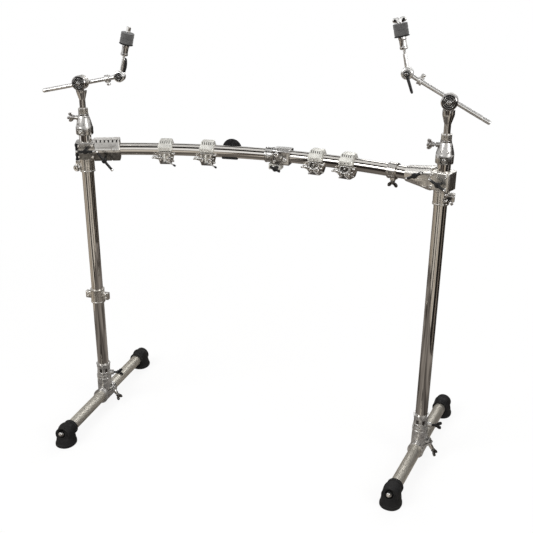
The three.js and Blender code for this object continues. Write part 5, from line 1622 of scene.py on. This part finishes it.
def add_lever(label, boom, arm):
    """The black clamping lever of the cymbal tilter. The left one stands behind and is bowed."""
    behind = boom["side"] < 0
    way = -boom["front"] if behind else boom["front"]
    seat = 12 + 3 * SEAT_GAP if behind else ARM_FACE + SEAT_GAP
    base = arm @ shift(0, way * seat, 0) @ turn(-62 if behind else 138, "Y")
    out = facing((0, way, 0))
    hub = moved(turned([(0, 0), (7.4, 0), (8, 0.8), (8, 8.6), (6.2, 11), (0, 11)], MEDIUM, 0.8), out)
    root, tip, bend = (5.6, 4.6, -5) if behind else (4.5, 3.8, 0)
    rings = []
    for share in (0, 0.1, 0.3, 0.5, 0.7, 0.85, 0.94, 0.98, 1.0):
        width = root * (1 - share) + tip * share
        if share > 0.9:
            width *= math.sqrt(max(0.05, 1 - ((share - 0.9) / 0.1) ** 2))
        middle = way * (5.5 - 1.0 * math.sin(math.pi * share))
        bow = bend * math.sin(math.pi * share)
        ring = []
        for i in range(SMALL):
            angle = 2 * math.pi * i / SMALL
            y, z = middle + width * 0.9 * math.cos(angle), bow + width * math.sin(angle)
            ring.append(Vector((LEVER_LENGTH * share, y, z)))
        rings.append(ring)
    name = label + "_cymbal_lever"
    show(name + "_arm", fused(hub, skin(rings)), base, black_handle, name, name)
    cap = moved(turned([(0, 10), (4.6, 10), (4.6, 11.4), (3.8, 12), (0, 12)], SMALL, 0.4), out)
    show(name + "_cap", cap, base, fitting_chrome, name)


def add_boom(label, boom):
    side, front = boom["side"], boom["front"]
    add_adapter(side, label)
    swing = rack @ shift(side * HALF_SPACING, 0, ADAPTER_TOP) @ turn(boom["azimuth"])
    add_post(label, boom, swing)
    tilter = swing @ shift(0, 0, boom["tilt"]) @ turn(-boom["rise"], "Y")
    add_holder(label, boom, tilter)
    arm = tilter @ shift(boom["reach"], -front * BOOM_OFFSET, boom["off"])
    add_arm(label, boom, arm)
    add_stem(label, boom, arm @ shift(0, -front * 6.6, 0) @ turn(boom["rise"] + boom["lean"], "Y"))
    add_lever(label, boom, arm)


for boom_label, boom_sizes in BOOMS.items():
    add_boom(boom_label, boom_sizes)
bpy.data.objects.remove(screw_pattern)


# ---------------------------------------------------------------- studio
def stage_plane(name, corners, material):
    mesh = bpy.data.meshes.new(name)
    mesh.from_pydata(corners, [], [tuple(range(len(corners)))])
    mesh.materials.append(material)
    plane = bpy.data.objects.new(name, mesh)
    bpy.context.scene.collection.objects.link(plane)
    return plane


def seen_share(nodes):
    """1 for a ray from the camera, by a mirror or through glass, and 0 for one that lights a surface."""
    path = nodes.add("ShaderNodeLightPath").outputs
    straight = Number(nodes, path["Is Camera Ray"])
    by_way = straight.math("MAXIMUM", path["Is Glossy Ray"], path["Is Transmission Ray"])
    return straight.math("MAXIMUM", straight, by_way)


def glow_card(name, light, dark, scale, stretch):
    """A card's own tone, with soft broad patches in it."""
    material = bpy.data.materials.new(name)
    material.use_nodes = True
    nodes = Nodes(material.node_tree)
    material.node_tree.nodes.remove(material.node_tree.nodes["Principled BSDF"])
    place = nodes.add("ShaderNodeTexCoord").outputs["Object"]
    place = nodes.add("ShaderNodeMapping", None, {"Vector": place, "Scale": stretch}).outputs[0]
    patches = nodes.add("ShaderNodeTexNoise", None, {"Vector": place, "Scale": scale, "Detail": 3.0})
    share = Number(nodes, patches.outputs["Fac"]).ramp((0.38, 0), (0.62, 1))
    tone = nodes.add("ShaderNodeMix", {"data_type": "RGBA"}, {0: share, 6: (*dark, 1), 7: (*light, 1)})
    glow = nodes.add("ShaderNodeEmission", None, {"Color": tone.outputs[2], "Strength": 1.0})
    output = material.node_tree.nodes["Material Output"]
    material.node_tree.links.new(glow.outputs[0], output.inputs["Surface"])
    return material


def square(reach, level):
    return [(-reach, -reach, level), (reach, -reach, level), (reach, reach, level), (-reach, reach, level)]


def add_floor():
    """A white floor that keeps the shadow near the rack and fades into the white world further out."""
    material = bpy.data.materials.new("pale_floor")
    material.use_nodes = True
    nodes = Nodes(material.node_tree)
    shader = material.node_tree.nodes["Principled BSDF"]
    shader.inputs["Roughness"].default_value = 0.9
    shader.inputs["Base Color"].default_value = (0.93, 0.92, 0.91, 1)
    glow = nodes.add("ShaderNodeEmission", None, {"Color": (1, 1, 1, 1), "Strength": 1.0})
    place = nodes.add("ShaderNodeTexCoord").outputs["Object"]
    distance = nodes.add("ShaderNodeVectorMath", {"operation": "LENGTH"}, {0: place})
    span = {0: distance.outputs["Value"], 1: 0.7, 2: 2.2, 3: 0.86, 4: 1.0}
    fade = nodes.add("ShaderNodeMapRange", None, span)
    share = seen_share(nodes) * Number(nodes, fade.outputs[0])
    mixed = nodes.add("ShaderNodeMixShader", None, {0: share, 1: shader.outputs[0], 2: glow.outputs[0]})
    output = material.node_tree.nodes["Material Output"]
    material.node_tree.links.new(mixed.outputs[0], output.inputs["Surface"])
    stage_plane("floor", square(9, 0), material)


# The world's strength as light. It is white, 1, where it is seen.
WORLD_LIGHT = 0.62
# Cards round the rack: azimuth of the middle, width in degrees, lower and upper edge in metres, and tone
WALL_CARDS = (
    (-90, 100, 0.0, 0.62, "pale"),
    (90, 260, 0.0, 0.62, "beige"),
    (-107, 100, 0.62, 1.06, "brown"),
    (-150, 5, 0.0, 1.2, "brown"),
    (-121, 19, 0.0, 1.2, "black"),
    (-106, 4, 0.0, 1.2, "brown"),
    (-79, 11, 0.0, 1.2, "black"),
    (-68, 4, 0.0, 1.2, "brown"),
    (-53, 13, 0.0, 1.2, "beige"),
    (-46, 2, 0.0, 1.2, "black"),
    (-22, 30, 0.0, 1.2, "black"),
    (0, 10, 0.0, 1.2, "brown"),
    (26, 40, 0.0, 1.2, "black"),
    (54, 10, 0.0, 1.2, "brown"),
    (82, 40, 0.0, 1.2, "black"),
    (118, 22, 0.0, 1.2, "brown"),
    (144, 10, 0.0, 1.2, "black"),
    (172, 4, 0.0, 1.2, "brown"),
)
# Cards overhead, along the rack: middle Y, height, width in metres, and tone
OVERHEAD_CARDS = (
    (-1.26, 2.72, 1.30, "black"),
    (-0.28, 3.1, 0.14, "brown"),
    (0.30, 3.1, 0.12, "black"),
    (1.35, 2.6, 1.15, "black"),
    (2.15, 1.75, 0.35, "brown"),
)


def wall_card(azimuth, width, lower, upper, radius):
    """The corners of one card, and of more where it is wide, so that it follows the round."""
    steps = max(1, round(width / 12))
    angles = [math.radians(azimuth + width * (step / steps - 0.5)) for step in range(steps + 1)]
    spots = [(radius * math.cos(angle), radius * math.sin(angle)) for angle in angles]
    pairs = zip(spots, spots[1:])
    return [[(*left, lower), (*right, lower), (*right, upper), (*left, upper)] for left, right in pairs]


def add_flags():
    """Cards that only mirror surfaces see: they give the chrome its brown and black lines."""
    tones = {
        "black": glow_card("black_flag", (0.030, 0.025, 0.022), (0.012, 0.010, 0.009), 2.0, (1, 1, 0.3)),
        "brown": glow_card("brown_flag", (0.185, 0.158, 0.138), (0.07, 0.058, 0.051), 2.0, (1, 1, 0.3)),
        "pale": glow_card("pale_flag", (0.95, 0.90, 0.82), (0.66, 0.61, 0.54), 1.2, (1, 1, 0.3)),
        "beige": glow_card("beige_flag", (0.62, 0.55, 0.46), (0.36, 0.31, 0.25), 2.0, (1, 1, 0.3)),
    }
    for i, (azimuth, width, lower, upper, tone) in enumerate(WALL_CARDS):
        radius, level = (1.95, 0.008) if width < 90 else (2.05, 0.005)
        for j, corners in enumerate(wall_card(azimuth, width, lower, upper, radius)):
            hide(stage_plane(f"wall_flag_{i + 1}_{j + 1}", corners, tones[tone]))
            if lower == 0:
                outer = [(x, y, level) for x, y, _ in corners[:2]]
                inner = [(x * 0.62, y * 0.62, level) for x, y, _ in reversed(outer)]
                hide(stage_plane(f"skirt_flag_{i + 1}_{j + 1}", outer + inner, tones[tone]))
    for i, (y, z, width, tone) in enumerate(OVERHEAD_CARDS):
        across = Vector((0, -z, y)).normalized() * width / 2
        middle = Vector((0, y, z))
        ways = ((-3, -1), (3, -1), (3, 1), (-3, 1))
        corners = [tuple(middle + Vector((x, 0, 0)) + across * way) for x, way in ways]
        hide(stage_plane(f"overhead_flag_{i + 1}", corners, tones[tone]))
    boards = glow_card("floor_flag", (0.32, 0.29, 0.262), (0.066, 0.057, 0.051), 3.0, (1, 0.4, 1))
    hide(stage_plane("floor_flag", square(6, 0.003), boards))


def hide(card):
    card.visible_camera = False
    card.visible_diffuse = False
    card.visible_transmission = False
    card.visible_shadow = False


def add_lamps():
    scene = bpy.context.scene
    scene.view_settings.view_transform = "Standard"
    world = bpy.data.worlds.new("studio")
    scene.world = world
    world.use_nodes = True
    nodes = Nodes(world.node_tree)
    background = world.node_tree.nodes["Background"]
    strength = seen_share(nodes) * (1 - WORLD_LIGHT) + WORLD_LIGHT
    background.inputs["Color"].default_value = (1, 1, 1, 1)
    world.node_tree.links.new(strength.socket, background.inputs["Strength"])
    for name, spot, size, power in (
        ("key_lamp", (-2.4, -2.8, 3.4), 2.2, 95),
        ("fill_lamp", (3.2, -1.6, 2.4), 2.0, 45),
        ("back_lamp", (0.6, 3.0, 2.8), 2.0, 40),
    ):
        data = bpy.data.lights.new(name, "AREA")
        data.size = size
        data.energy = power
        lamp = bpy.data.objects.new(name, data)
        scene.collection.objects.link(lamp)
        aim = Vector((0, 0, 0.8)) - Vector(spot)
        lamp.matrix_world = Matrix.Translation(spot) @ aim.to_track_quat("-Z", "Y").to_matrix().to_4x4()


add_floor()
add_flags()
add_lamps()
